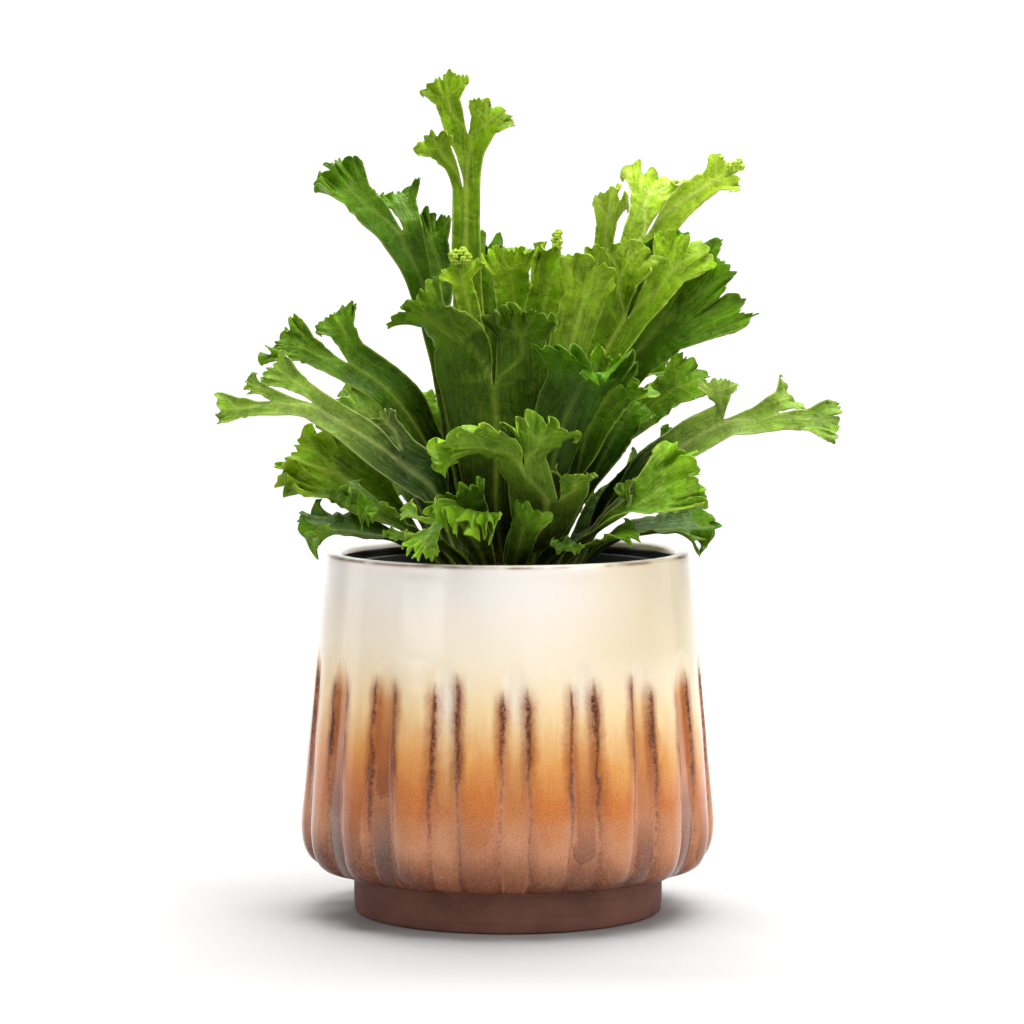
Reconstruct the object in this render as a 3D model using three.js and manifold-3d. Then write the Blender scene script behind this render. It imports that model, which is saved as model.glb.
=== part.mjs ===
// A crested bird's nest fern in a black nursery pot that stands in a glazed, fluted planter.
// Millimetres, +Z up, +X right and -Y towards the viewer; the origin is the centre of the foot's underside.

import * as THREE from 'three';
import Module from 'manifold-3d';
import { mergeVertices } from 'three/addons/utils/BufferGeometryUtils.js';

// Planter sizes
const FOOT_RADIUS = 57.4;
const FOOT_HEIGHT = 14.6;
const BELLY_RADIUS = 75.9;
const BELLY_HEIGHT = 35;
const RIM_RADIUS = 67.4;
const PLANTER_HEIGHT = 134.2;
const LIP_WIDTH = 6;
const WALL = 5.6;
const BASE_THICKNESS = 6;
const RING_STEPS = 36;

// Flutes pressed into the planter
const FLUTE_COUNT = 18;
const FLUTE_PITCH = 360 / FLUTE_COUNT;
const FIRST_FLUTE = -88;
const FLUTE_DEPTH = 1.9;
const FLUTE_TOP = 100;
const PANEL_PILLOW = 0.25;
const FLUTE_HALF_ANGLE = 3.15;
const FLUTE_WIDENING = 1.3;
const FLUTE_NARROWEST = 0.25;
const FLUTE_ARCH = 9;
const FLUTE_TOP_FADE = 4;
const FLUTE_BOTTOM = 13.5;
const FLUTE_BOTTOM_FADE = 6;
const FLUTE_BOTTOM_SHARE = 0.3;

// Nursery pot and soil
const FIT_GAP = 0.3;
const NURSERY_BOTTOM = BASE_THICKNESS + FIT_GAP;
const NURSERY_TOP = 129;
const NURSERY_BOTTOM_RADIUS = 45;
const NURSERY_TOP_RADIUS = 59.2;
const NURSERY_WALL = 1.2;
const NURSERY_RIM_WIDTH = 1.4;
const NURSERY_RIM_HEIGHT = 4;
const NURSERY_RIM_STEP = 1;
const SOIL_HEIGHT = 121;
const SOIL_SHOULDER = 2;
const SOIL_DISH = 0.8;
const SOIL_CLEARANCE = 0.5;

// Crown: the rhizome that every frond grows from
const CROWN_RADIUS = 28;
const CROWN_RISE = 12;
const CROWN_DEPTH = 12;
const CROWN_TAPER = 2;
const CROWN_STEPS = 24;
const CROWN_ROWS = 3;

// Frond roots stand in rings on the crown, leaning outwards more in the outer rings
const RINGS = {
  centre: { radius: 0, lean: 0 },
  inner: { radius: 9, lean: 6 },
  middle: { radius: 16.5, lean: 18 },
  outer: { radius: 24, lean: 34 },
};
const ROOT_DEPTH = 9;
const ROOT_RISE = 2;
const ROOT_WIDTH = 5.2;
const ROOT_THICKNESS = 2;

// Blades: straps are channelled and ruffled, and end in fans of pleated lobes
const MARGIN_THICKNESS = 0.8;
const RIB_THICKNESS = 1.5;
const ROW_STEP = 12;
const CHANNEL = 0.16;
const STRAP_RUFFLE = 1.1;
const RUFFLE_POWER = 1.5;
const FAN_RINGS = 3;
const FAN_PLEAT = 2;

// Lobes: a higher power rounds them less, and the two turns make each lobe and cut a little different
const LOBE_POWER = 0.7;
const LOBE_VARIETY = 0.24;
const LOBE_TURN = 2.4;
const CUT_LEAST = 0.072;
const CUT_VARIETY = 0.216;
const CUT_TURN = 1.7;
const SIDE_TAPER = 0.12;

const radians = THREE.MathUtils.degToRad;
const vector = (x, y, z) => new THREE.Vector3(x, y, z);
const smooth = (t) => t * t * (3 - 2 * t);

// Each frond: ring and azimuth of its root, then its strap as x, y, z and width, the way its face looks
// at the strap's end, and either two arms or the fan of lobes that ends it.
const FRONDS = [
  {
    name: 'frond_top', ring: 'inner', azimuth: 150,
    path: [[-9, 4, 160, 9], [-14, 6, 205, 12], [-15.5, 6, 240, 11], [-15.5, 6, 268, 10]],
    face: [0.1, -1, 0.1],
    arms: [
      {
        share: 0.4, path: [[-21, 2, 276, 6], [-25, -1, 282, 9]], face: [-0.3, -1, 0.2],
        fan: { reach: 9, spread: 48, lobes: 3, curl: -30 },
      },
      {
        share: 0.6, path: [[-14, 7, 280, 10], [-14, 7, 288, 18]], face: [0, -1, 0.1],
        arms: [
          {
            share: 0.45, path: [[-22, 6, 300, 10]], face: [-0.2, -1, 0.1],
            fan: { reach: 13, spread: 42, lobes: 4, curl: -20 },
          },
          {
            share: 0.55, path: [[-8, 7, 292, 13]], face: [0.2, -1, 0.3],
            fan: { reach: 11, spread: 44, lobes: 4, curl: -35 },
          },
        ],
      },
    ],
  },
  {
    name: 'frond_upper_left', ring: 'middle', azimuth: 135,
    path: [[-20, 15, 160, 7], [-24, 18, 190, 6], [-28, 20, 216, 9]], face: [0.3, -1, 0.1],
    arms: [
      {
        share: 0.55, path: [[-34, 16, 236, 11], [-40, 15, 251, 17]], face: [0.3, -1, 0.3],
        arms: [
          {
            share: 0.6, path: [[-57, 14, 266, 14]], face: [0.2, -1, 0.4],
            fan: { reach: 19, spread: 26, lobes: 5, curl: -25 },
          },
          {
            share: 0.4, path: [[-39, 22, 262, 10]], face: [0.1, -1, 0.3],
            fan: { reach: 12, spread: 35, lobes: 3, curl: -30 },
          },
        ],
      },
      {
        share: 0.45, path: [[-24.5, 27, 233, 8], [-29, 30, 247, 14]], face: [0, -1, 0.2],
        fan: { reach: 16, spread: 30, lobes: 4, curl: -25 },
      },
    ],
  },
  {
    name: 'frond_middle', ring: 'inner', azimuth: -105,
    path: [[-4, -17, 152, 22], [-4, -22, 178, 34], [-5, -23, 196, 40]], face: [0, 1, 0.3],
    arms: [
      {
        share: 0.5, path: [[-18, -25, 212, 21], [-28, -27, 221, 17]], face: [0.3, 0.8, 0.6],
        fan: { reach: 15, spread: 36, lobes: 4, curl: -30 },
      },
      {
        share: 0.5, path: [[5, -24, 213, 18]], face: [0, 0.8, 0.5],
        fan: { reach: 15, spread: 36, lobes: 4, curl: -30 },
      },
    ],
  },
  {
    name: 'frond_left_curl', ring: 'inner', azimuth: -160,
    path: [[-11, -7, 160, 8], [-12, -8, 200, 8], [-14, -6, 222, 8], [-17, -6, 234, 8]], face: [0, -1, 0.2],
    fan: { reach: 10, spread: 50, lobes: 3, curl: -40 },
  },
  {
    name: 'frond_back_light', ring: 'inner', azimuth: 100,
    path: [[-1, 18, 165, 12], [4, 21, 208, 14], [1, 22, 236, 14]], face: [0, -1, 0.2],
    fan: { reach: 14, spread: 30, lobes: 4, curl: -25 },
  },
  {
    name: 'frond_centre_light', ring: 'centre', azimuth: 60,
    path: [[3, 3, 160, 10], [9, 5, 205, 15], [15, 6, 231, 14]], face: [0, -1, 0.2],
    fan: { reach: 21, spread: 16, lobes: 3, curl: -20 },
  },
  {
    name: 'frond_centre_right', ring: 'inner', azimuth: -52,
    path: [[11, -10, 160, 10], [20, -9, 200, 15], [28, -7, 228, 16]], face: [-0.2, 1, 0.3],
    fan: { reach: 18, spread: 24, lobes: 4, curl: -30 },
  },
  {
    name: 'frond_upper_right', ring: 'inner', azimuth: 51,
    path: [[14, 14, 165, 11], [26, 22, 205, 14], [39, 27, 238, 15]], face: [0, -1, 0.2],
    arms: [
      {
        share: 0.4, path: [[37, 20, 256, 8]], face: [0, -1, 0.1],
        fan: { reach: 16, spread: 18, lobes: 3, curl: -15 },
      },
      {
        share: 0.6, path: [[51, 28, 251, 16]], face: [0, -1, 0.2],
        arms: [
          {
            share: 0.55, path: [[53, 34, 265, 15]], face: [0, -1, 0.2],
            fan: { reach: 18, spread: 38, lobes: 5, curl: -25 },
          },
          {
            share: 0.45, path: [[67, 24, 264, 11], [77, 23, 271, 11]], face: [-0.2, -1, 0.4],
            fan: { reach: 11, spread: 35, lobes: 3, curl: -30 },
          },
        ],
      },
    ],
  },
  {
    name: 'frond_right_fan', ring: 'inner', azimuth: 0,
    path: [[18, 3, 165, 11], [31, 4, 198, 13], [43, 5, 220, 17]], face: [0, -1, 0.3],
    arms: [
      {
        share: 0.55, path: [[41, 2, 234, 15]], face: [0, -1, 0.3],
        fan: { reach: 18, spread: 42, lobes: 4, curl: -35 },
      },
      {
        share: 0.45, path: [[60, 8, 237, 14]], face: [0, -1, 0.3],
        fan: { reach: 20, spread: 38, lobes: 4, curl: -30 },
      },
    ],
  },
  {
    name: 'frond_dark_right', ring: 'middle', azimuth: 48,
    path: [[28, 15, 165, 12], [42, 15, 199, 18], [55, 13, 216, 27]], face: [-0.1, -1, 0.4],
    fan: { reach: 44, spread: 34, lobes: 6, curl: -20 },
  },
  {
    name: 'frond_right_reach', ring: 'outer', azimuth: -25,
    path: [[37, -16, 150, 14], [52, -20, 166, 17], [68, -22, 177, 15], [79, -22, 183, 15]],
    face: [-0.2, -0.9, 0.5],
    arms: [
      {
        share: 0.4, path: [[77, -21, 193, 9]], face: [0, -1, 0.2],
        fan: { reach: 8, spread: 50, lobes: 3, curl: -30 },
      },
      {
        share: 0.6, path: [[90, -23, 183, 11], [98, -24, 186, 14]], face: [0, -0.9, 0.5],
        arms: [
          {
            share: 0.45, path: [[101, -20, 191, 11]], face: [0, -0.9, 0.4],
            fan: { reach: 9, spread: 48, lobes: 3, curl: -30 },
          },
          {
            share: 0.55, path: [[111, -29, 184, 11]], face: [0, -0.9, 0.5],
            fan: { reach: 13, spread: 34, lobes: 4, curl: -30 },
          },
        ],
      },
    ],
  },
  {
    name: 'frond_right_middle', ring: 'middle', azimuth: 20,
    path: [[31, 4, 165, 11], [48, 0, 183, 14], [61, -2, 194, 16]], face: [-0.3, -0.9, 0.5],
    fan: { reach: 16, spread: 34, lobes: 4, curl: -25 },
  },
  {
    name: 'frond_right_light_strap', ring: 'middle', azimuth: -32,
    path: [[24, -16, 158, 12], [29, -22, 180, 17], [38, -24, 195, 18]], face: [-0.1, -1, 0.3],
    fan: { reach: 15, spread: 38, lobes: 4, curl: -40 },
  },
  {
    name: 'frond_right_dark_strap', ring: 'middle', azimuth: -6,
    path: [[28, -5, 155, 11], [38, -9, 175, 14], [44, -10, 185, 15]], face: [-0.2, -1, 0.3],
    fan: { reach: 10, spread: 40, lobes: 3, curl: -30 },
  },
  {
    name: 'frond_right_inner', ring: 'outer', azimuth: 15,
    path: [[38, 0, 152, 12], [50, -5, 164, 12], [59, -9, 172, 11]], face: [-0.3, -0.9, 0.5],
    fan: { reach: 10, spread: 45, lobes: 3, curl: -30 },
  },
  {
    name: 'frond_right_crest', ring: 'outer', azimuth: -45,
    path: [[31, -31, 143, 12], [41, -39, 151, 18]], face: [0, -0.5, 1],
    arms: [
      {
        share: 0.35, path: [[43, -32, 158, 8]], face: [-0.8, -0.6, 0.3],
        fan: { reach: 7, spread: 40, lobes: 3, curl: -30 },
      },
      {
        share: 0.65, path: [[51, -42, 157, 19]], face: [0, -0.9, 0.7],
        fan: { reach: 26, spread: 28, lobes: 5, curl: -30 },
      },
    ],
  },
  {
    name: 'frond_right_rim', ring: 'outer', azimuth: -5,
    path: [[40, -5, 139, 16], [54, -9, 143, 21], [63, -11, 144, 22]], face: [0, -0.3, 1],
    fan: { reach: 18, spread: 38, lobes: 4, curl: -60 },
  },
  {
    name: 'frond_front', ring: 'middle', azimuth: -88,
    path: [[11, -34, 144, 20], [14, -45, 157, 28]], face: [0, 0.9, 0.6],
    arms: [
      {
        share: 0.35, path: [[24, -53, 163, 11]], face: [0, 0.5, 1],
        fan: { reach: 10, spread: 35, lobes: 3, curl: -50 },
      },
      {
        share: 0.65, path: [[5, -52, 169, 18]], face: [0, 0.8, 0.7],
        arms: [
          {
            share: 0.55, path: [[-1, -56, 174, 17], [-7, -58, 176, 18]], face: [0.2, 0.6, 0.6],
            fan: { reach: 24, spread: 36, lobes: 6, curl: -60 },
          },
          {
            share: 0.45, path: [[11, -57, 178, 18]], face: [0, 0.9, 0.4],
            fan: { reach: 15, spread: 46, lobes: 5, curl: -60 },
          },
        ],
      },
    ],
  },
  {
    name: 'frond_front_cup', ring: 'middle', azimuth: -60,
    path: [[14, -29, 160, 14], [20, -33, 184, 21], [26, -36, 198, 25]], face: [-0.1, 1, 0.5],
    fan: { reach: 20, spread: 46, lobes: 5, curl: -115 },
  },
  {
    name: 'frond_front_left_rim', ring: 'outer', azimuth: -105,
    path: [[-12, -39, 141, 12], [-17, -46, 149, 20]], face: [0, 0.3, 1],
    arms: [
      {
        share: 0.5, path: [[-27, -51, 148, 11]], face: [0, -0.1, 1],
        arms: [
          {
            share: 0.5, path: [[-34, -50, 151, 7]], face: [0, -0.3, 1],
            fan: { reach: 6, spread: 40, lobes: 2, curl: -40 },
          },
          {
            share: 0.5, path: [[-29, -59, 143, 9]], face: [0, -0.7, 0.7],
            fan: { reach: 11, spread: 40, lobes: 4, curl: -30 },
          },
        ],
      },
      {
        share: 0.5, path: [[-13, -56, 153, 14]], face: [0.1, -0.4, 1],
        fan: { reach: 23, spread: 48, lobes: 6, curl: -100 },
      },
    ],
  },
  {
    name: 'frond_front_blade', ring: 'outer', azimuth: -85,
    path: [[4, -43, 138, 9], [6, -50, 147, 12]], face: [0.5, 1, 0.3],
    fan: { reach: 12, spread: 22, lobes: 2, curl: 15 },
  },
  {
    name: 'frond_front_right_rim', ring: 'outer', azimuth: -65,
    path: [[19, -38, 138, 10], [26, -44, 140, 14]], face: [0, 0.3, 1],
    arms: [
      {
        share: 0.5, path: [[22, -52, 140, 9]], face: [0, 0.2, 1],
        fan: { reach: 7, spread: 40, lobes: 2, curl: -30 },
      },
      {
        share: 0.5, path: [[37, -45, 143, 10]], face: [0, -0.3, 1],
        fan: { reach: 13, spread: 40, lobes: 3, curl: -50 },
      },
    ],
  },
  {
    name: 'frond_left_reach', ring: 'middle', azimuth: -170,
    path: [[-27, -17, 158, 18], [-40, -21, 169, 20]], face: [0.2, -0.9, 0.5],
    arms: [
      {
        share: 0.3, path: [[-44, -18, 182, 8]], face: [0, -1, 0.3],
        fan: { reach: 7, spread: 32, lobes: 3, curl: 20 },
      },
      {
        share: 0.7, path: [[-57, -25, 180, 14], [-71, -25, 189, 12]], face: [0.2, -0.9, 0.5],
        arms: [
          {
            share: 0.4, path: [[-80, -21, 199, 9]], face: [0, -1, 0.3],
            fan: { reach: 12, spread: 26, lobes: 3, curl: -20 },
          },
          {
            share: 0.6, path: [[-86, -27, 190, 10]], face: [0, -0.9, 0.5],
            arms: [
              {
                share: 0.4, path: [[-91, -30, 196, 5]], face: [0, -0.9, 0.5],
                fan: { reach: 7, spread: 30, lobes: 2, curl: -20 },
              },
              {
                share: 0.6, path: [[-98, -27, 188, 8]], face: [0, -0.9, 0.5],
                fan: { reach: 12, spread: 24, lobes: 3, curl: -20 },
              },
            ],
          },
        ],
      },
    ],
  },
  {
    name: 'frond_left_upper', ring: 'middle', azimuth: 163,
    path: [[-24, 3, 160, 13], [-34, -5, 181, 18], [-45, -9, 195, 18], [-58, -10, 204, 17]],
    face: [0.3, -1, 0.5],
    arms: [
      {
        share: 0.5, path: [[-74, -11, 209, 11]], face: [0.1, -1, 0.4],
        fan: { reach: 18, spread: 34, lobes: 4, curl: -30 },
      },
      {
        share: 0.5, path: [[-61, -7, 216, 10]], face: [0, -1, 0.3],
        fan: { reach: 11, spread: 40, lobes: 3, curl: -30 },
      },
    ],
  },
  {
    name: 'frond_left_pale', ring: 'outer', azimuth: 155,
    path: [[-36, 10, 156, 16], [-51, 11, 183, 13]], face: [0.5, -0.9, 0.5],
    fan: { reach: 18, spread: 26, lobes: 3, curl: -20 },
  },
  {
    name: 'frond_left_back', ring: 'outer', azimuth: 135,
    path: [[-27, 28, 156, 16], [-32, 32, 182, 13]], face: [0.3, -0.9, 0.5],
    fan: { reach: 14, spread: 32, lobes: 3, curl: -40 },
  },
  {
    name: 'frond_left_fan', ring: 'outer', azimuth: 178,
    path: [[-38, -3, 143, 14], [-50, -7, 154, 22], [-62, -9, 163, 27]], face: [0.1, -0.9, 0.6],
    fan: { reach: 25, spread: 36, lobes: 6, curl: -25 },
  },
  {
    name: 'frond_left_rim', ring: 'outer', azimuth: -160,
    path: [[-40, -16, 139, 14], [-54, -20, 143, 20], [-63, -22, 144, 20]], face: [0, -0.4, 1],
    fan: { reach: 15, spread: 38, lobes: 4, curl: -60 },
  },
  {
    name: 'frond_left_glossy', ring: 'outer', azimuth: -140,
    path: [[-35, -28, 144, 12], [-46, -35, 152, 18]], face: [0, -0.3, 1],
    fan: { reach: 15, spread: 42, lobes: 4, curl: -70 },
  },
  {
    name: 'frond_left_tongue', ring: 'outer', azimuth: -122,
    path: [[-26, -39, 140, 7], [-37, -46, 143, 8]], face: [0, 0, 1],
    fan: { reach: 8, spread: 20, lobes: 2, curl: -35 },
  },
  {
    name: 'frond_left_low', ring: 'middle', azimuth: -128,
    path: [[-14, -26, 144, 16], [-18, -32, 154, 20]], face: [0, 1, 0.4],
    fan: { reach: 9, spread: 28, lobes: 3, curl: -30 },
  },
  {
    name: 'frond_back_right_low', ring: 'outer', azimuth: 35,
    path: [[38, 25, 148, 18], [52, 34, 156, 21]], face: [0, -0.6, 1],
    fan: { reach: 18, spread: 40, lobes: 4, curl: -50 },
  },
  {
    name: 'frond_back_right', ring: 'outer', azimuth: 55,
    path: [[27, 38, 160, 19], [38, 54, 188, 19], [45, 66, 196, 19]], face: [-0.3, -0.6, 1],
    fan: { reach: 23, spread: 40, lobes: 5, curl: -55 },
  },
  {
    name: 'frond_back_rim_right', ring: 'outer', azimuth: 75,
    path: [[12, 43, 143, 18], [17, 58, 149, 21]], face: [0, 0, 1],
    fan: { reach: 18, spread: 42, lobes: 4, curl: -60 },
  },
  {
    name: 'frond_back', ring: 'outer', azimuth: 95,
    path: [[-3, 42, 160, 20], [-5, 60, 188, 21], [-6, 76, 196, 21]], face: [0, -0.6, 1],
    fan: { reach: 26, spread: 40, lobes: 5, curl: -55 },
  },
  {
    name: 'frond_back_rim_left', ring: 'outer', azimuth: 115,
    path: [[-22, 43, 144, 18], [-29, 56, 149, 20]], face: [0, 0, 1],
    fan: { reach: 17, spread: 42, lobes: 4, curl: -60 },
  },
  {
    name: 'frond_back_upright', ring: 'middle', azimuth: 108,
    path: [[-7, 27, 166, 15], [-7, 33, 208, 17], [-6, 36, 234, 17]], face: [0, -1, 0.5],
    fan: { reach: 22, spread: 36, lobes: 4, curl: -50 },
  },
  {
    name: 'frond_back_upright_right', ring: 'middle', azimuth: 78,
    path: [[10, 31, 163, 15], [20, 42, 198, 17], [26, 49, 214, 19]], face: [-0.2, -1, 0.5],
    fan: { reach: 18, spread: 38, lobes: 4, curl: -50 },
  },
];

// A curve through stations of x, y, z and width, with its slope found from the neighbouring stations
function makeCurve(stations, startSlope) {
  const last = stations.length - 1;
  const reach = [0];
  for (let i = 1; i <= last; i += 1) {
    const from = stations[i - 1];
    const to = stations[i];
    reach.push(reach[i - 1] + Math.hypot(to[0] - from[0], to[1] - from[1], to[2] - from[2]));
  }
  const slopes = stations.map((station, i) => {
    const before = Math.max(0, i - 1);
    const after = Math.min(last, i + 1);
    const span = reach[after] - reach[before];
    return station.map((_, axis) => (stations[after][axis] - stations[before][axis]) / span);
  });
  if (startSlope) {
    startSlope.toArray().forEach((value, axis) => { slopes[0][axis] = value; });
  }
  return { stations, slopes, reach, length: reach[last] };
}

// Position, direction and width a fraction s along a curve
function curveAt(curve, s) {
  const { stations, slopes, reach, length } = curve;
  const along = s * length;
  let i = 0;
  while (i < stations.length - 2 && along > reach[i + 1]) i += 1;
  const span = reach[i + 1] - reach[i];
  const t = (along - reach[i]) / span;
  const position = [0, 1, 2, 3].map((axis) => {
    const a = stations[i][axis];
    const b = stations[i + 1][axis];
    const pull = (t ** 3 - 2 * t * t + t) * slopes[i][axis] + (t ** 3 - t * t) * slopes[i + 1][axis];
    return a + (b - a) * smooth(t) + span * pull;
  });
  const tangent = [0, 1, 2].map((axis) => {
    const a = stations[i][axis];
    const b = stations[i + 1][axis];
    const pull = (3 * t * t - 4 * t + 1) * slopes[i][axis] + (3 * t * t - 2 * t) * slopes[i + 1][axis];
    return (b - a) * (6 * t - 6 * t * t) + span * pull;
  });
  return {
    centre: vector(...position.slice(0, 3)),
    width: position[3],
    tangent: vector(...tangent).normalize(),
  };
}

// Directions along, across and out of the face of a strap, a fraction s along it
function strapFrame(strap, s) {
  const { centre, width, tangent } = curveAt(strap.curve, s);
  const face = strap.faceStart.clone().lerp(strap.faceEnd, smooth(s));
  const normal = face.addScaledVector(tangent, -face.dot(tangent)).normalize();
  const across = tangent.clone().cross(normal);
  return { centre, width, tangent, normal, across };
}

// A point of a strap: q runs from -1 at its left margin to 1 at its right margin
function strapPoint(strap, s, q) {
  const { centre, width, normal, across } = strapFrame(strap, s);
  const channel = CHANNEL * width * (q * q - 1 / 3) * smooth(Math.min(1, s * strap.rows));
  const side = q > 0 ? Math.PI : 0;
  const ruffle = STRAP_RUFFLE * s * Math.abs(q) ** RUFFLE_POWER * Math.cos(Math.PI * strap.rows * s + side);
  const point = centre.clone();
  point.addScaledVector(across, (q * width) / 2);
  point.addScaledVector(normal, channel + ruffle);
  return point;
}

// How far the lobes of a fan reach at q, as a share of its full reach: every lobe and cut differs a little
function lobeReach(fan, phase, seed) {
  const bump = Math.abs(Math.sin(Math.PI * phase)) ** LOBE_POWER;
  const before = Math.floor(phase - 0.5);
  const blend = smooth(phase - 0.5 - before);
  const trim = (lobe) => LOBE_VARIETY * Math.abs(Math.sin(LOBE_TURN * lobe + seed));
  const lobe = 1 - THREE.MathUtils.lerp(trim(before), trim(before + 1), blend);
  const cut = CUT_LEAST + CUT_VARIETY * Math.abs(Math.sin(CUT_TURN * Math.round(phase) + seed));
  const side = (2 * phase) / fan.lobes - 1;
  return lobe * (1 - SIDE_TAPER * side * side) * (1 - cut * (1 - bump));
}

// A point of the fan that ends a strap: q across it, t from the strap's end to the lobes' tips
function fanPoint(strap, fan, q, t) {
  const { normal, across, tangent } = strapFrame(strap, 1);
  const turn = radians(fan.spread) * q;
  const outward = tangent.clone().multiplyScalar(Math.cos(turn)).addScaledVector(across, Math.sin(turn));
  const phase = ((q + 1) / 2) * fan.lobes;
  const distance = fan.reach * lobeReach(fan, phase, strap.seed) * t;
  const curl = radians(fan.curl);
  const bend = (curl * distance) / fan.reach;
  const bendRadius = fan.reach / curl;
  const pleat = FAN_PLEAT * t ** RUFFLE_POWER * Math.cos(2 * Math.PI * phase);
  const point = strapPoint(strap, 1, q);
  point.addScaledVector(outward, bendRadius * Math.sin(bend));
  point.addScaledVector(normal, bendRadius * (1 - Math.cos(bend)) + pleat * Math.cos(bend));
  point.addScaledVector(outward, -pleat * Math.sin(bend));
  return point;
}

// A row of a sheet: vertices with their q, in order of q
function addRow(sheet, qs, place, thickness) {
  return qs.map((q) => {
    sheet.points.push(place(q));
    sheet.thickness.push(thickness(q));
    return { q, index: sheet.points.length - 1 };
  });
}

// Triangles between two rows whose vertices needn't match
function zipRows(sheet, lower, upper) {
  let i = 0;
  let j = 0;
  while (i < lower.length - 1 || j < upper.length - 1) {
    const nextLower = i < lower.length - 1 ? lower[i + 1].q : Infinity;
    const nextUpper = j < upper.length - 1 ? upper[j + 1].q : Infinity;
    const level = Math.abs(nextLower - nextUpper) < 1e-9;
    const takeLower = level ? nextLower > 0 : nextLower < nextUpper;
    if (takeLower) {
      sheet.faces.push([lower[i].index, lower[i + 1].index, upper[j].index]);
      i += 1;
    } else {
      sheet.faces.push([lower[i].index, upper[j + 1].index, upper[j].index]);
      j += 1;
    }
  }
}

const bladeThickness = (q) => MARGIN_THICKNESS + (RIB_THICKNESS - MARGIN_THICKNESS) * (1 - Math.abs(q)) ** 2;
const spread = (count) => Array.from({ length: count + 1 }, (_, i) => -1 + (2 * i) / count);

// The part of a row from q0 to q1, with q stretched to run from -1 to 1 again
function rowPart(row, q0, q1) {
  const inside = row.filter((vertex) => vertex.q > q0 - 1e-9 && vertex.q < q1 + 1e-9);
  return inside.map(({ q, index }) => ({ q: (2 * (q - q0)) / (q1 - q0) - 1, index }));
}

// Grows one arm from its first row: its strap, then two more arms or a fan
function growArm(sheet, arm, firstRow, startSlope, faceStart) {
  const first = sheet.points[firstRow[0].index];
  const last = sheet.points[firstRow[firstRow.length - 1].index];
  const start = first.clone().lerp(last, 0.5);
  const stations = [[start.x, start.y, start.z, first.distanceTo(last)], ...arm.path];
  const curve = makeCurve(stations, startSlope);
  const strap = {
    curve,
    faceStart,
    faceEnd: vector(...arm.face).normalize(),
    rows: Math.max(1, Math.round(curve.length / ROW_STEP)),
    seed: arm.path[0][0] + arm.path[0][2],
  };
  let row = firstRow;
  for (let k = 1; k <= strap.rows; k += 1) {
    const s = k / strap.rows;
    const next = addRow(sheet, strapColumns(arm, strap, k),
      (q) => strapPoint(strap, s, q), bladeThickness);
    zipRows(sheet, row, next);
    row = next;
  }
  const frame = strapFrame(strap, 1);
  if (arm.arms) {
    growFork(sheet, arm, strap, row, frame);
  } else {
    growFan(sheet, arm.fan, strap, row);
  }
}

// Arms in order across the strap, and where the strap is split between them
function orderArms(arm, frame) {
  const offset = ({ path }) => vector(...path[0].slice(0, 3)).sub(frame.centre).dot(frame.across);
  const arms = [...arm.arms].sort((a, b) => offset(a) - offset(b));
  return { arms, split: 2 * arms[0].share - 1 };
}

// Columns of a strap's row: two, but in its last row four, which meet a fork's split
function strapColumns(arm, strap, row) {
  if (row < strap.rows) return spread(2);
  if (!arm.arms) return spread(4);
  const { split } = orderArms(arm, strapFrame(strap, 1));
  return [-1, (split - 1) / 2, split, (split + 1) / 2, 1];
}

function growFork(sheet, arm, strap, row, frame) {
  const { arms, split } = orderArms(arm, frame);
  const parts = [rowPart(row, -1, split), rowPart(row, split, 1)];
  arms.forEach((child, side) => {
    const [x, y, z] = child.path[0];
    const away = vector(x, y, z).sub(frame.centre).normalize();
    const slope = away.add(frame.tangent).multiplyScalar(0.5);
    growArm(sheet, child, parts[side], slope, frame.normal);
  });
}

function growFan(sheet, fan, strap, firstRow) {
  let row = firstRow;
  for (let ring = 1; ring <= FAN_RINGS; ring += 1) {
    const t = ring / FAN_RINGS;
    const thickness = (q) => MARGIN_THICKNESS + (bladeThickness(q) - MARGIN_THICKNESS) * (1 - t);
    const next = addRow(sheet, spread(2 * fan.lobes), (q) => fanPoint(strap, fan, q, t), thickness);
    zipRows(sheet, row, next);
    row = next;
  }
}

// Normals of a sheet's vertices, each the sum of the faces around it
function sheetNormals(sheet) {
  const normals = sheet.points.map(() => vector(0, 0, 0));
  sheet.faces.forEach(([a, b, c]) => {
    const ab = sheet.points[b].clone().sub(sheet.points[a]);
    const ac = sheet.points[c].clone().sub(sheet.points[a]);
    const normal = ab.cross(ac);
    [a, b, c].forEach((index) => normals[index].add(normal));
  });
  return normals.map((normal) => normal.normalize());
}

// Edges that only one face uses, in that face's direction
function openEdges(faces) {
  const seen = new Set(faces.flatMap(([a, b, c]) => [`${a},${b}`, `${b},${c}`, `${c},${a}`]));
  return [...seen].map((edge) => edge.split(',').map(Number)).filter(([a, b]) => !seen.has(`${b},${a}`));
}

// A closed blade: the sheet moved half its thickness to each side, and walls around its margin
function thicken(sheet) {
  const normals = sheetNormals(sheet);
  const count = sheet.points.length;
  const side = (sign) => sheet.points.map((point, i) => (
    point.clone().addScaledVector(normals[i], (sign * sheet.thickness[i]) / 2)));
  const faces = sheet.faces.flatMap(([a, b, c]) => [[a, b, c], [a + count, c + count, b + count]]);
  openEdges(sheet.faces).forEach(([a, b]) => {
    faces.push([b, a, a + count], [b, a + count, b + count]);
  });
  return solidGeometry([...side(1), ...side(-1)], faces);
}

function solidGeometry(points, faces) {
  const geometry = new THREE.BufferGeometry();
  geometry.setAttribute('position', new THREE.Float32BufferAttribute(points.flatMap((p) => p.toArray()), 3));
  geometry.setIndex(faces.flat());
  geometry.computeVertexNormals();
  return geometry;
}

const domeHeight = (radius) => SOIL_HEIGHT + CROWN_RISE * (1 - (radius / CROWN_RADIUS) ** 2);

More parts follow.
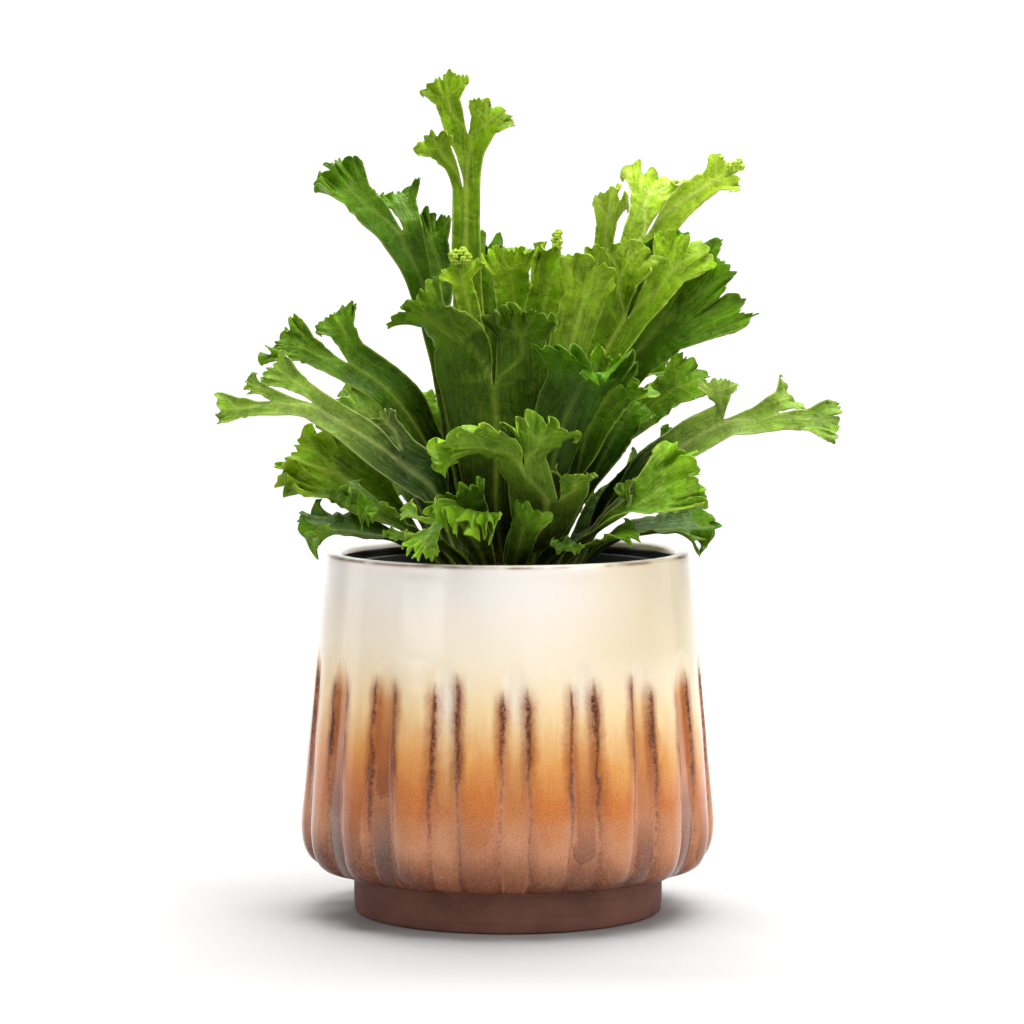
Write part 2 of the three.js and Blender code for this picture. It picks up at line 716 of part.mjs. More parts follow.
// Where a frond stands on the crown, the way it leaves it, and the way its root faces
function rootPlace({ ring, azimuth }) {
  const { radius, lean } = RINGS[ring];
  const angle = radians(azimuth);
  const outward = vector(Math.cos(angle), Math.sin(angle), 0);
  const foot = outward.clone().multiplyScalar(radius).setZ(domeHeight(radius));
  const direction = outward.clone().multiplyScalar(Math.sin(radians(lean)));
  direction.z = Math.cos(radians(lean));
  const face = outward.clone().multiplyScalar(-1);
  face.addScaledVector(direction, -face.dot(direction)).normalize();
  const across = direction.clone().cross(face);
  return { foot, direction, face, across };
}

// A frond: its root's two rows, then everything that grows from them
function frondGeometry(frond) {
  const { foot, direction, face, across } = rootPlace(frond);
  const sheet = { points: [], thickness: [], faces: [] };
  const rootRow = (rise) => addRow(sheet, spread(2),
    (q) => foot.clone().addScaledVector(direction, rise).addScaledVector(across, (q * ROOT_WIDTH) / 2),
    () => ROOT_THICKNESS);
  const bottom = rootRow(-ROOT_DEPTH);
  const top = rootRow(ROOT_RISE);
  zipRows(sheet, bottom, top);
  growArm(sheet, frond, top, direction, face);
  return thicken(sheet);
}

// A solid of revolution from a profile of radius and height, from the axis and back to it
function turned(profile, steps) {
  const points = profile.map(([radius, height]) => new THREE.Vector2(radius, height));
  const geometry = new THREE.LatheGeometry(points, steps);
  geometry.rotateX(Math.PI / 2);
  return cleaned(geometry);
}

function cleaned(geometry) {
  geometry.deleteAttribute('normal');
  geometry.deleteAttribute('uv');
  return mergeVertices(geometry, 1e-4);
}

// Joining and cutting of closed solids
const wasm = await Module();
wasm.setup();

function toManifold(geometry) {
  const merged = cleaned(geometry);
  return new wasm.Manifold(new wasm.Mesh({
    numProp: 3,
    vertProperties: new Float32Array(merged.attributes.position.array),
    triVerts: new Uint32Array(merged.index.array),
  }));
}

function fromManifold(solid) {
  const mesh = solid.getMesh();
  const geometry = new THREE.BufferGeometry();
  geometry.setAttribute('position', new THREE.BufferAttribute(new Float32Array(mesh.vertProperties), 3));
  geometry.setIndex(new THREE.BufferAttribute(new Uint32Array(mesh.triVerts), 1));
  return geometry;
}

// The hole that a frond's root stands in
function socketGeometry(frond) {
  const { foot, direction, face, across } = rootPlace(frond);
  const halfWidth = ROOT_WIDTH / 2 + FIT_GAP;
  const halfThickness = ROOT_THICKNESS / 2 + FIT_GAP;
  const height = ROOT_DEPTH + FIT_GAP + 2 * CROWN_RISE;
  const box = new THREE.BoxGeometry(2 * halfWidth, 2 * halfThickness, height);
  box.translate(0, 0, height / 2 - ROOT_DEPTH - FIT_GAP);
  box.applyMatrix4(new THREE.Matrix4().makeBasis(across, face.clone().multiplyScalar(-1), direction));
  box.translate(foot.x, foot.y, foot.z);
  return box;
}

// The crown: a low dome with a shank in the soil, cut by the sockets of the fronds
function crownGeometry() {
  const bottom = SOIL_HEIGHT - CROWN_DEPTH;
  const profile = [[0, bottom], [CROWN_RADIUS - CROWN_TAPER, bottom]];
  for (let row = CROWN_ROWS; row >= 0; row -= 1) {
    const radius = (CROWN_RADIUS * row) / CROWN_ROWS;
    profile.push([radius, domeHeight(radius)]);
  }
  let solid = toManifold(turned(profile, CROWN_STEPS));
  FRONDS.forEach((frond) => { solid = solid.subtract(toManifold(socketGeometry(frond))); });
  return fromManifold(solid);
}

// Soil that fills the nursery pot, with the crown's bed in the middle
function soilGeometry() {
  const bottom = NURSERY_BOTTOM + NURSERY_WALL + FIT_GAP;
  const bed = SOIL_HEIGHT - CROWN_DEPTH - FIT_GAP;
  const slope = (NURSERY_TOP_RADIUS - NURSERY_BOTTOM_RADIUS) / (NURSERY_TOP - NURSERY_BOTTOM);
  const wall = (height) => NURSERY_BOTTOM_RADIUS + slope * (height - NURSERY_BOTTOM) - NURSERY_WALL;
  const radiusAt = (height) => wall(height) - SOIL_CLEARANCE;
  return turned([
    [0, bottom],
    [radiusAt(bottom), bottom],
    [radiusAt(SOIL_HEIGHT - SOIL_SHOULDER), SOIL_HEIGHT - SOIL_SHOULDER],
    [(radiusAt(SOIL_HEIGHT) + CROWN_RADIUS) / 2, SOIL_HEIGHT],
    [CROWN_RADIUS + FIT_GAP, SOIL_HEIGHT - SOIL_DISH],
    [CROWN_RADIUS - CROWN_TAPER + FIT_GAP, bed],
    [0, bed],
  ], RING_STEPS);
}

// Nursery pot: a thin tapered wall with a turned-out rim
function nurseryPotGeometry() {
  const rim = NURSERY_TOP_RADIUS + NURSERY_RIM_WIDTH;
  const rimBottom = NURSERY_TOP - NURSERY_RIM_HEIGHT;
  return turned([
    [0, NURSERY_BOTTOM],
    [NURSERY_BOTTOM_RADIUS, NURSERY_BOTTOM],
    [NURSERY_TOP_RADIUS, rimBottom - NURSERY_RIM_STEP],
    [rim, rimBottom],
    [rim, NURSERY_TOP],
    [NURSERY_TOP_RADIUS - NURSERY_WALL, NURSERY_TOP],
    [NURSERY_BOTTOM_RADIUS - NURSERY_WALL, NURSERY_BOTTOM + NURSERY_WALL],
    [0, NURSERY_BOTTOM + NURSERY_WALL],
  ], RING_STEPS);
}

// Planter profile outside the flutes: foot, then the fluted wall, then the plain wall, lip and inside
const FOOT_PROFILE = [[FOOT_RADIUS - 1, 0], [FOOT_RADIUS, 1], [FOOT_RADIUS, FOOT_HEIGHT]];
const FLUTED_PROFILE = [
  [62, 15], [66.5, 16], [70.2, 17.8], [73.4, 21.6], [75.2, 27], [BELLY_RADIUS, BELLY_HEIGHT],
  [74.6, 55], [72.6, 77], [71.4, 91], [70.95, 96.5], [70.65, FLUTE_TOP],
];
const PLAIN_PROFILE = [[69.2, 114], [67.7, 127], [RIM_RADIUS, 131]];
const LIP_PROFILE = [
  [RIM_RADIUS - 0.8, PLANTER_HEIGHT - 1.2], [RIM_RADIUS - LIP_WIDTH / 2, PLANTER_HEIGHT],
  [RIM_RADIUS - LIP_WIDTH + 0.7, PLANTER_HEIGHT - 1.2], [RIM_RADIUS - LIP_WIDTH, PLANTER_HEIGHT - 3.4],
];
const INSIDE_PROFILE = [
  [71.4 - WALL, 91], [74.6 - WALL, 55], [BELLY_RADIUS - WALL, BELLY_HEIGHT], [73 - WALL, 24],
  [FOOT_RADIUS - WALL, 20], [FOOT_RADIUS - WALL, BASE_THICKNESS],
];

// Half angle of a flute and its depth at a height: an arched top, straight sides, then a fading notch
function fluteHalfAngle(height) {
  const straight = FLUTE_HALF_ANGLE + FLUTE_WIDENING * (1 - height / FLUTE_TOP);
  const arch = Math.sqrt(Math.max(0, (FLUTE_TOP - height) / FLUTE_ARCH));
  return straight * Math.min(1, Math.max(FLUTE_NARROWEST, arch));
}

function fluteDepth(height) {
  const top = Math.min(1, Math.max(0, (FLUTE_TOP - height) / FLUTE_TOP_FADE));
  const bottom = Math.min(1, Math.max(FLUTE_BOTTOM_SHARE, (height - FLUTE_BOTTOM) / FLUTE_BOTTOM_FADE));
  return FLUTE_DEPTH * top * bottom;
}

// Columns of a fluted row: each flute's two edges and its bottom, then the middle of the next panel
function flutedRing(radius, height) {
  const ring = [];
  for (let flute = 0; flute < FLUTE_COUNT; flute += 1) {
    const middle = FIRST_FLUTE + flute * FLUTE_PITCH;
    const half = fluteHalfAngle(height);
    ring.push({ angle: middle, radius: radius - fluteDepth(height), height });
    ring.push({ angle: middle + half, radius, height });
    ring.push({ angle: middle + FLUTE_PITCH / 2, radius: radius + PANEL_PILLOW, height });
    ring.push({ angle: middle + FLUTE_PITCH - half, radius, height });
  }
  return ring;
}

function plainRing(radius, height) {
  return Array.from({ length: RING_STEPS }, (_, i) => (
    { angle: FIRST_FLUTE + (i * 360) / RING_STEPS, radius, height }));
}

// Triangles between two closed rings whose columns needn't match
function zipRings(faces, lower, upper) {
  let i = 0;
  let j = 0;
  const angleOf = (ring, k) => ring[k % ring.length].angle + (k >= ring.length ? 360 : 0);
  while (i < lower.length || j < upper.length) {
    const takeLower = j >= upper.length
      || (i < lower.length && angleOf(lower, i + 1) <= angleOf(upper, j + 1));
    const low = lower[i % lower.length].index;
    const high = upper[j % upper.length].index;
    if (takeLower) {
      faces.push([low, lower[(i + 1) % lower.length].index, high]);
      i += 1;
    } else {
      faces.push([low, upper[(j + 1) % upper.length].index, high]);
      j += 1;
    }
  }
}

function planterGeometry() {
  const rings = [
    ...FOOT_PROFILE.map(([r, z]) => plainRing(r, z)),
    ...FLUTED_PROFILE.map(([r, z]) => flutedRing(r, z)),
    ...[...PLAIN_PROFILE, ...LIP_PROFILE, ...INSIDE_PROFILE].map(([r, z]) => plainRing(r, z)),
  ];
  const points = [];
  rings.flat().forEach((column) => {
    const angle = radians(column.angle);
    column.index = points.length;
    points.push(vector(column.radius * Math.cos(angle), column.radius * Math.sin(angle), column.height));
  });
  const faces = [];
  for (let k = 1; k < rings.length; k += 1) zipRings(faces, rings[k - 1], rings[k]);
  capRing(points, faces, rings[0], true);
  capRing(points, faces, rings[rings.length - 1], false);
  return solidGeometry(points, faces);
}

// A flat disc that closes a ring, facing down outside and up inside
function capRing(points, faces, ring, down) {
  const centre = points.length;
  points.push(vector(0, 0, ring[0].height));
  ring.forEach(({ index }, i) => {
    const next = ring[(i + 1) % ring.length].index;
    faces.push(down ? [centre, next, index] : [centre, index, next]);
  });
}

// Colours and finishes
const materials = {
  glaze: new THREE.MeshStandardMaterial({ color: 0xc98a55, roughness: 0.15, metalness: 0 }),
  blackPlastic: new THREE.MeshStandardMaterial({ color: 0x15161a, roughness: 0.5, metalness: 0 }),
  soil: new THREE.MeshStandardMaterial({ color: 0x2b1c12, roughness: 0.95, metalness: 0 }),
  crown: new THREE.MeshStandardMaterial({ color: 0x3b2a1a, roughness: 0.9, metalness: 0 }),
  leaf: new THREE.MeshStandardMaterial({ color: 0x4f8a1e, roughness: 0.45, metalness: 0 }),
};

function piece(name, geometry, material) {
  const mesh = new THREE.Mesh(geometry, material);
  mesh.name = name;
  return mesh;
}

const pottedFern = new THREE.Group();
pottedFern.add(piece('planter', planterGeometry(), materials.glaze));
pottedFern.add(piece('nursery_pot', nurseryPotGeometry(), materials.blackPlastic));
pottedFern.add(piece('soil', soilGeometry(), materials.soil));
pottedFern.add(piece('crown', crownGeometry(), materials.crown));
FRONDS.forEach((frond) => {
  pottedFern.add(piece(frond.name, frondGeometry(frond), materials.leaf));
});

export default pottedFern;
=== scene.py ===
# Dresses the potted crested fern: fine frilled fronds, a glazed fluted planter, its black inner pot
# and the soil. Lengths in the tables and formulas are millimetres, multiplied by MM when a mesh is made.

import math
from types import SimpleNamespace

import bmesh
import bpy
import numpy as np
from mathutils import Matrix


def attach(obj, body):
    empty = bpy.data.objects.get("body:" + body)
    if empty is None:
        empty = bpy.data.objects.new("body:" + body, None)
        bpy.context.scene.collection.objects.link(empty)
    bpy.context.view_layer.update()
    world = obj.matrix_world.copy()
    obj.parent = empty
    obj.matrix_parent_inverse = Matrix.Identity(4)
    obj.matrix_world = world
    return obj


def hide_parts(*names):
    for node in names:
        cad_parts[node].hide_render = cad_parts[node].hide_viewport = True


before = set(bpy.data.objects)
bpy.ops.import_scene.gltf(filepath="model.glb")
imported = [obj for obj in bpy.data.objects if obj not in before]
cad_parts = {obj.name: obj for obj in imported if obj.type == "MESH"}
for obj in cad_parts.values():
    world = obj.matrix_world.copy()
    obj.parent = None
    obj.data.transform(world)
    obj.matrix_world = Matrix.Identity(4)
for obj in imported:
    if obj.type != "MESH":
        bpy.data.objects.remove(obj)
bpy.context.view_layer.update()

MM = 0.001

# Planter sizes
FOOT_RADIUS = 57.4
FOOT_HEIGHT = 14.6
BELLY_RADIUS = 75.9
BELLY_HEIGHT = 35
RIM_RADIUS = 67.4
PLANTER_HEIGHT = 134.2
LIP_HEIGHT = 131
LIP_WIDTH = 6
INNER_LIP_HEIGHT = 129
WALL = 5.6
BASE_THICKNESS = 6

# Flutes pressed into the planter. A column power above 1 crowds the columns of points towards the flutes.
FLUTE_COUNT = 18
FLUTE_PITCH = 360 / FLUTE_COUNT
FIRST_FLUTE = -88
FLUTE_DEPTH = 1.9
FLUTE_TOP = 100
FLUTE_HALF_ANGLE = 3.2
FLUTE_WIDENING = 1.4
FLUTE_NARROWEST = 0.25
FLUTE_ARCH = 5
FLUTE_TOP_FADE = 13
FLUTE_BOTTOM = 13.5
FLUTE_BOTTOM_FADE = 6
FLUTE_BOTTOM_SHARE = 0.3
PANEL_PILLOW = 0.4
LOW_PILLOW = 1.1
LOW_GROOVE = 2.2
GROOVE_BREADTH = 1.5
COLUMNS_PER_FLUTE = 24
COLUMN_POWER = 1.35

# Drips of darker glaze: the flute that each runs in (a half is the panel after it), half width and lower end
DRIPS = [
    (1, 4.2, 32), (2, 4.0, 27), (3, 3.6, 23), (4, 3.8, 36), (5, 3.0, 48), (6, 4.2, 30),
    (7, 2.8, 55), (8, 3.8, 41), (9, 4.2, 26), (10, 2.8, 50), (11, 4.0, 33), (12, 3.2, 45), (13, 4.2, 28),
    (14, 3.4, 38), (15, 3.2, 44), (16, 3.2, 53), (17.5, 7.2, 20), (15.5, 5.0, 30),
    (3.5, 5.5, 26), (7.5, 6.5, 20), (11.5, 5.5, 29)]

# How much higher the brown glaze starts in each flute
FLUTE_FILL = [0, 4, 10, 24, 18, 6, 14, 2, 20, 8, 0, 12, 22, 6, 20, 22, 16, -4]

# Where the dark line along each flute's edge starts, above, and grows faint, below, and how much that varies
LINE_TOP = 91
LINE_TOP_VARIETY = 8
LINE_LOW = 38
LINE_LOW_VARIETY = 22

# What a mark on the planter says where no drip, line or flute is near
FAR_OFF = 9.0
FAR_ABOVE = 60.0

# The thin brown line on the lip: how far below the top it is, and its breadth
LIP_LINE_DEPTH = 0.9
LIP_LINE_BREADTH = 0.6

# How much lower the darker glaze reaches for each step to the right, and for all of the planter
GLAZE_LEAN = 0.06
GLAZE_SHIFT = 11.5

# Glaze colours from the planter's foot (0) to its lip (1), on the panels and inside the flutes
PANEL_COLORS = [
    (0.08, (90, 38, 16)), (0.15, (106, 46, 18)), (0.24, (200, 127, 81)), (0.38, (212, 124, 60)),
    (0.48, (234, 166, 92)), (0.60, (252, 220, 166)), (0.74, (255, 240, 214)), (0.92, (252, 244, 236))]
FLUTE_COLORS = [
    (0.08, (88, 42, 22)), (0.16, (140, 76, 42)), (0.26, (206, 134, 86)), (0.38, (203, 128, 74)),
    (0.47, (222, 156, 94)), (0.56, (246, 208, 152)), (0.66, (255, 242, 220)), (0.80, (255, 250, 236))]

# Nursery pot, soil and crown
FIT_GAP = 0.3
NURSERY_BOTTOM = BASE_THICKNESS + FIT_GAP
NURSERY_TOP = 129
NURSERY_BOTTOM_RADIUS = 45
NURSERY_TOP_RADIUS = 59.2
NURSERY_WALL = 1.2
NURSERY_RIM_WIDTH = 1.4
NURSERY_RIM_HEIGHT = 4
SOIL_HEIGHT = 121
SOIL_CLEARANCE = 0.5
SOIL_DIP = 1.2
SOIL_RELIEF = 0.9
CROWN_RADIUS = 28
CROWN_RISE = 12
CROWN_DEPTH = 12

# Frond roots stand in rings on the crown, leaning outwards more in the outer rings
RINGS = {"centre": (0, 0), "inner": (9, 6), "middle": (16.5, 18), "outer": (24, 34)}
ROOT_DEPTH = 9
ROOT_RISE = 2
ROOT_WIDTH = 5.2
ROOT_THICKNESS = 2
ROOT_LENGTH = 20

# Blades: straps are channelled and ruffled, and end in fans of pleated lobes
ROW_STEP = 12
CHANNEL = 0.16
STRAP_RUFFLE = 0.8
RUFFLE_POWER = 1.5
FAN_PLEAT = 2
LOBE_POWER = 0.7
LOBE_VARIETY = 0.24
LOBE_TURN = 2.4
CUT_LEAST = 0.08
CUT_VARIETY = 0.26
CUT_TURN = 1.7
SIDE_TAPER = 0.12

# Fine surface of the blades. A power says how closely a detail keeps to the margin. Lobe columns are pairs:
# the ring of the fan before which they hold, and the columns of each lobe.
FINE_ROW = 1.3
STRAP_COLUMNS = 12
FORK_COLUMNS = 9
FAN_RINGS = 18
RING_POWER = 1.25
LOBE_COLUMNS = ((3, 4), (6, 8), (FAN_RINGS + 1, 24))
MARGIN_THICKNESS = 0.4
RIB_THICKNESS = 1.1
RIB_BREADTH = 0.8
TOOTH_PITCH = 2.5
TOOTH_DEPTH = 2.3
SIDE_TEETH = 2
SIDE_TEETH_POWER = 10
STRAP_TEETH = 1.6
STRAP_TEETH_POWER = 5
BROAD_STRAP = 12
SMALL_LOBES = 2
SMALL_LOBE_DEPTH = 2.4
TIP_POWER = 6
LONG_FAN = 18
CORNER_CUT = 2.6
CORNER_POWER = 24
LOBE_SHIFT = 1.1
BROAD_WAVE = 5
SWAY = 2.6
FRILL_PITCH = 5
FRILL_HEIGHT = 3.4
FINE_FRILL = 0.25
STRAP_FRILL = 0.9
FORKED_SHARE = 0.12
PLAIN_SHARE = 0.1
CREST_STRETCH = 20


def fan(reach, spread, lobes, curl, calm=1):
    """A crest: how far it reaches, its half angle, its lobes, how it curls, and its share of ruffles, which
    is less than 1 where a neighbour is close."""
    return {"reach": reach, "spread": spread, "lobes": lobes, "curl": curl, "calm": calm}


def arm(share, path, face, *ends):
    """A strap: its share of the one that it forks from, its stations as x, y, z and width, and the way that
    its face looks at its end. Its ends are one fan or two more arms."""
    return {"share": share, "path": path, "face": face, "ends": ends}


def frond(name, ring, azimuth, path, face, *ends):
    """A whole frond: where its root stands, then its strap and what that ends in."""
    return {"name": name, "ring": ring, "azimuth": azimuth, **arm(1, path, face, *ends)}


FRONDS = [
    frond("top", "inner", 150,
        [(-9, 4, 160, 9), (-14, 6, 205, 12), (-15.5, 6, 240, 11), (-15.5, 6, 268, 10)], (0.1, -1, 0.1),
        arm(0.4, [(-21, 2, 276, 6), (-25, -1, 282, 9)], (-0.3, -1, 0.2), fan(9, 48, 3, -30)),
        arm(0.6, [(-14, 7, 280, 10), (-14, 7, 288, 18)], (0, -1, 0.1),
            arm(0.45, [(-22, 6, 300, 10)], (-0.2, -1, 0.1), fan(13, 42, 4, -20)),
            arm(0.55, [(-8, 7, 292, 13)], (0.2, -1, 0.3), fan(11, 44, 4, -35)))),
    frond("upper_left", "middle", 135, [(-20, 15, 160, 7), (-24, 18, 190, 6), (-28, 20, 216, 9)],
        (0.3, -1, 0.1),
        arm(0.55, [(-34, 16, 236, 11), (-40, 15, 251, 17)], (0.3, -1, 0.3),
            arm(0.6, [(-57, 14, 266, 14)], (0.2, -1, 0.4), fan(19, 26, 5, -25)),
            arm(0.4, [(-39, 22, 262, 10)], (0.1, -1, 0.3), fan(12, 35, 3, -30))),
        arm(0.45, [(-24.5, 27, 233, 8), (-29, 30, 247, 14)], (0, -1, 0.2), fan(16, 30, 4, -25))),
    frond("middle", "inner", -105, [(-4, -17, 152, 22), (-4, -22, 178, 34), (-5, -23, 196, 40)],
        (0, 1, 0.3),
        arm(0.5, [(-18, -25, 212, 21), (-28, -27, 221, 17)], (0.3, 0.8, 0.6), fan(15, 36, 4, -30)),
        arm(0.5, [(5, -24, 213, 18)], (0, 0.8, 0.5), fan(15, 36, 4, -30))),
    frond("left_curl", "inner", -160,
        [(-11, -7, 160, 8), (-12, -8, 200, 8), (-14, -6, 222, 8), (-17, -6, 234, 8)],
        (0, -1, 0.2), fan(10, 50, 3, -40)),
    frond("back_light", "inner", 100, [(-1, 18, 165, 12), (4, 21, 208, 14), (1, 22, 236, 14)], (0, -1, 0.2),
        fan(14, 30, 4, -25)),
    frond("centre_light", "centre", 60, [(3, 3, 160, 10), (9, 5, 205, 15), (15, 6, 231, 14)], (0, -1, 0.2),
        fan(21, 16, 3, -20)),
    frond("centre_right", "inner", -52, [(11, -10, 160, 10), (20, -9, 200, 15), (28, -7, 228, 16)],
        (-0.2, 1, 0.3), fan(18, 24, 4, -30, 0.7)),
    frond("upper_right", "inner", 51, [(14, 14, 165, 11), (26, 22, 205, 14), (39, 27, 238, 15)],
        (0, -1, 0.2),
        arm(0.4, [(37, 20, 256, 8)], (0, -1, 0.1), fan(16, 18, 3, -15)),
        arm(0.6, [(51, 28, 251, 16)], (0, -1, 0.2),
            arm(0.55, [(53, 34, 265, 15)], (0, -1, 0.2), fan(18, 38, 5, -25)),
            arm(0.45, [(67, 24, 264, 11), (77, 23, 271, 11)], (-0.2, -1, 0.4), fan(11, 35, 3, -30)))),
    frond("right_fan", "inner", 0, [(18, 3, 165, 11), (31, 4, 198, 13), (43, 5, 220, 17)], (0, -1, 0.3),
        arm(0.55, [(41, 2, 234, 15)], (0, -1, 0.3), fan(18, 42, 4, -35)),
        arm(0.45, [(60, 8, 237, 14)], (0, -1, 0.3), fan(20, 38, 4, -30, 0.6))),
    frond("dark_right", "middle", 48, [(28, 15, 165, 12), (42, 15, 199, 18), (55, 13, 216, 27)],
        (-0.1, -1, 0.4), fan(44, 34, 6, -20, 0.5)),
    frond("right_reach", "outer", -25,
        [(37, -16, 150, 14), (52, -20, 166, 17), (68, -22, 177, 15), (79, -22, 183, 15)], (-0.2, -0.9, 0.5),
        arm(0.4, [(77, -21, 193, 9)], (0, -1, 0.2), fan(8, 50, 3, -30)),
        arm(0.6, [(90, -23, 183, 11), (98, -24, 186, 14)], (0, -0.9, 0.5),
            arm(0.45, [(101, -20, 191, 11)], (0, -0.9, 0.4), fan(9, 48, 3, -30)),
            arm(0.55, [(111, -29, 184, 11)], (0, -0.9, 0.5), fan(13, 34, 4, -30)))),
    frond("right_middle", "middle", 20, [(31, 4, 165, 11), (48, 0, 183, 14), (61, -2, 194, 16)],
        (-0.3, -0.9, 0.5), fan(16, 34, 4, -25, 0.6)),
    frond("right_light_strap", "middle", -32, [(24, -16, 158, 12), (29, -22, 180, 17), (38, -24, 195, 18)],
        (-0.1, -1, 0.3), fan(15, 38, 4, -40)),
    frond("right_dark_strap", "middle", -6, [(28, -5, 155, 11), (38, -9, 175, 14), (44, -10, 185, 15)],
        (-0.2, -1, 0.3), fan(10, 40, 3, -30)),
    frond("right_inner", "outer", 15, [(38, 0, 152, 12), (50, -5, 164, 12), (59, -9, 172, 11)],
        (-0.3, -0.9, 0.5), fan(10, 45, 3, -30)),
    frond("right_crest", "outer", -45, [(31, -31, 143, 12), (41, -39, 151, 18)], (0, -0.5, 1),
        arm(0.35, [(43, -32, 158, 8)], (-0.8, -0.6, 0.3), fan(7, 40, 3, -30)),
        arm(0.65, [(51, -42, 157, 19)], (0, -0.9, 0.7), fan(26, 28, 5, -30))),
    frond("right_rim", "outer", -5, [(40, -5, 139, 16), (54, -9, 143, 21), (63, -11, 144, 22)],
        (0, -0.3, 1), fan(18, 38, 4, -60)),
    frond("front", "middle", -88, [(11, -34, 144, 20), (14, -45, 157, 28)], (0, 0.9, 0.6),
        arm(0.35, [(24, -53, 163, 11)], (0, 0.5, 1), fan(10, 35, 3, -50)),
        arm(0.65, [(5, -52, 169, 18)], (0, 0.8, 0.7),
            arm(0.55, [(-1, -56, 174, 17), (-7, -58, 176, 18)], (0.2, 0.6, 0.6), fan(24, 36, 6, -60)),
            arm(0.45, [(11, -57, 178, 18)], (0, 0.9, 0.4), fan(15, 46, 5, -60)))),
    frond("front_cup", "middle", -60, [(14, -29, 160, 14), (20, -33, 184, 21), (26, -36, 198, 25)],
        (-0.1, 1, 0.5), fan(20, 46, 5, -115)),
    frond("front_left_rim", "outer", -105, [(-12, -39, 141, 12), (-17, -46, 149, 20)], (0, 0.3, 1),
        arm(0.5, [(-27, -51, 148, 11)], (0, -0.1, 1),
            arm(0.5, [(-34, -50, 151, 7)], (0, -0.3, 1), fan(6, 40, 2, -40)),
            arm(0.5, [(-29, -59, 143, 9)], (0, -0.7, 0.7), fan(11, 40, 4, -30))),
        arm(0.5, [(-13, -56, 153, 14)], (0.1, -0.4, 1), fan(23, 48, 6, -100))),
    frond("front_blade", "outer", -85, [(4, -43, 138, 9), (6, -50, 147, 12)], (0.5, 1, 0.3),
        fan(12, 22, 2, 15)),
    frond("front_right_rim", "outer", -65, [(19, -38, 138, 10), (26, -44, 140, 14)], (0, 0.3, 1),
        arm(0.5, [(22, -52, 140, 9)], (0, 0.2, 1), fan(7, 40, 2, -30)),
        arm(0.5, [(37, -45, 143, 10)], (0, -0.3, 1), fan(13, 40, 3, -50, 0.6))),
    frond("left_reach", "middle", -170, [(-27, -17, 158, 18), (-40, -21, 169, 20)], (0.2, -0.9, 0.5),
        arm(0.3, [(-44, -18, 182, 8)], (0, -1, 0.3), fan(7, 32, 3, 20)),
        arm(0.7, [(-57, -25, 180, 14), (-71, -25, 189, 12)], (0.2, -0.9, 0.5),
            arm(0.4, [(-80, -21, 199, 9)], (0, -1, 0.3), fan(12, 26, 3, -20)),
            arm(0.6, [(-86, -27, 190, 10)], (0, -0.9, 0.5),
                arm(0.4, [(-91, -30, 196, 5)], (0, -0.9, 0.5), fan(7, 30, 2, -20)),
                arm(0.6, [(-98, -27, 188, 8)], (0, -0.9, 0.5), fan(12, 24, 3, -20))))),
    frond("left_upper", "middle", 163,
        [(-24, 3, 160, 13), (-34, -5, 181, 18), (-45, -9, 195, 18), (-58, -10, 204, 17)], (0.3, -1, 0.5),
        arm(0.5, [(-74, -11, 209, 11)], (0.1, -1, 0.4), fan(18, 34, 4, -30)),
        arm(0.5, [(-61, -7, 216, 10)], (0, -1, 0.3), fan(11, 40, 3, -30))),
    frond("left_pale", "outer", 155, [(-36, 10, 156, 16), (-51, 11, 183, 13)], (0.5, -0.9, 0.5),
        fan(18, 26, 3, -20)),
    frond("left_back", "outer", 135, [(-27, 28, 156, 16), (-32, 32, 182, 13)], (0.3, -0.9, 0.5),
        fan(14, 32, 3, -40)),
    frond("left_fan", "outer", 178, [(-38, -3, 143, 14), (-50, -7, 154, 22), (-62, -9, 163, 27)],
        (0.1, -0.9, 0.6), fan(25, 36, 6, -25)),
    frond("left_rim", "outer", -160, [(-40, -16, 139, 14), (-54, -20, 143, 20), (-63, -22, 144, 20)],
        (0, -0.4, 1), fan(15, 38, 4, -60)),
    frond("left_glossy", "outer", -140, [(-35, -28, 144, 12), (-46, -35, 152, 18)], (0, -0.3, 1),
        fan(15, 42, 4, -70)),
    frond("left_tongue", "outer", -122, [(-26, -39, 140, 7), (-37, -46, 143, 8)], (0, 0, 1),
        fan(8, 20, 2, -35)),
    frond("left_low", "middle", -128, [(-14, -26, 144, 16), (-18, -32, 154, 20)], (0, 1, 0.4),
        fan(9, 28, 3, -30)),
    frond("back_right_low", "outer", 35, [(38, 25, 148, 18), (52, 34, 156, 21)], (0, -0.6, 1),
        fan(18, 40, 4, -50)),
    frond("back_right", "outer", 55, [(27, 38, 160, 19), (38, 54, 188, 19), (45, 66, 196, 19)],
        (-0.3, -0.6, 1), fan(23, 40, 5, -55)),
    frond("back_rim_right", "outer", 75, [(12, 43, 143, 18), (17, 58, 149, 21)], (0, 0, 1),
        fan(18, 42, 4, -60)),
    frond("back", "outer", 95, [(-3, 42, 160, 20), (-5, 60, 188, 21), (-6, 76, 196, 21)], (0, -0.6, 1),
        fan(26, 40, 5, -55)),
    frond("back_rim_left", "outer", 115, [(-22, 43, 144, 18), (-29, 56, 149, 20)], (0, 0, 1),
        fan(17, 42, 4, -60)),
    frond("back_upright", "middle", 108, [(-7, 27, 166, 15), (-7, 33, 208, 17), (-6, 36, 234, 17)],
        (0, -1, 0.5), fan(22, 36, 4, -50)),
    frond("back_upright_right", "middle", 78, [(10, 31, 163, 15), (20, 42, 198, 17), (26, 49, 214, 19)],
        (-0.2, -1, 0.5), fan(18, 38, 4, -50)),
]

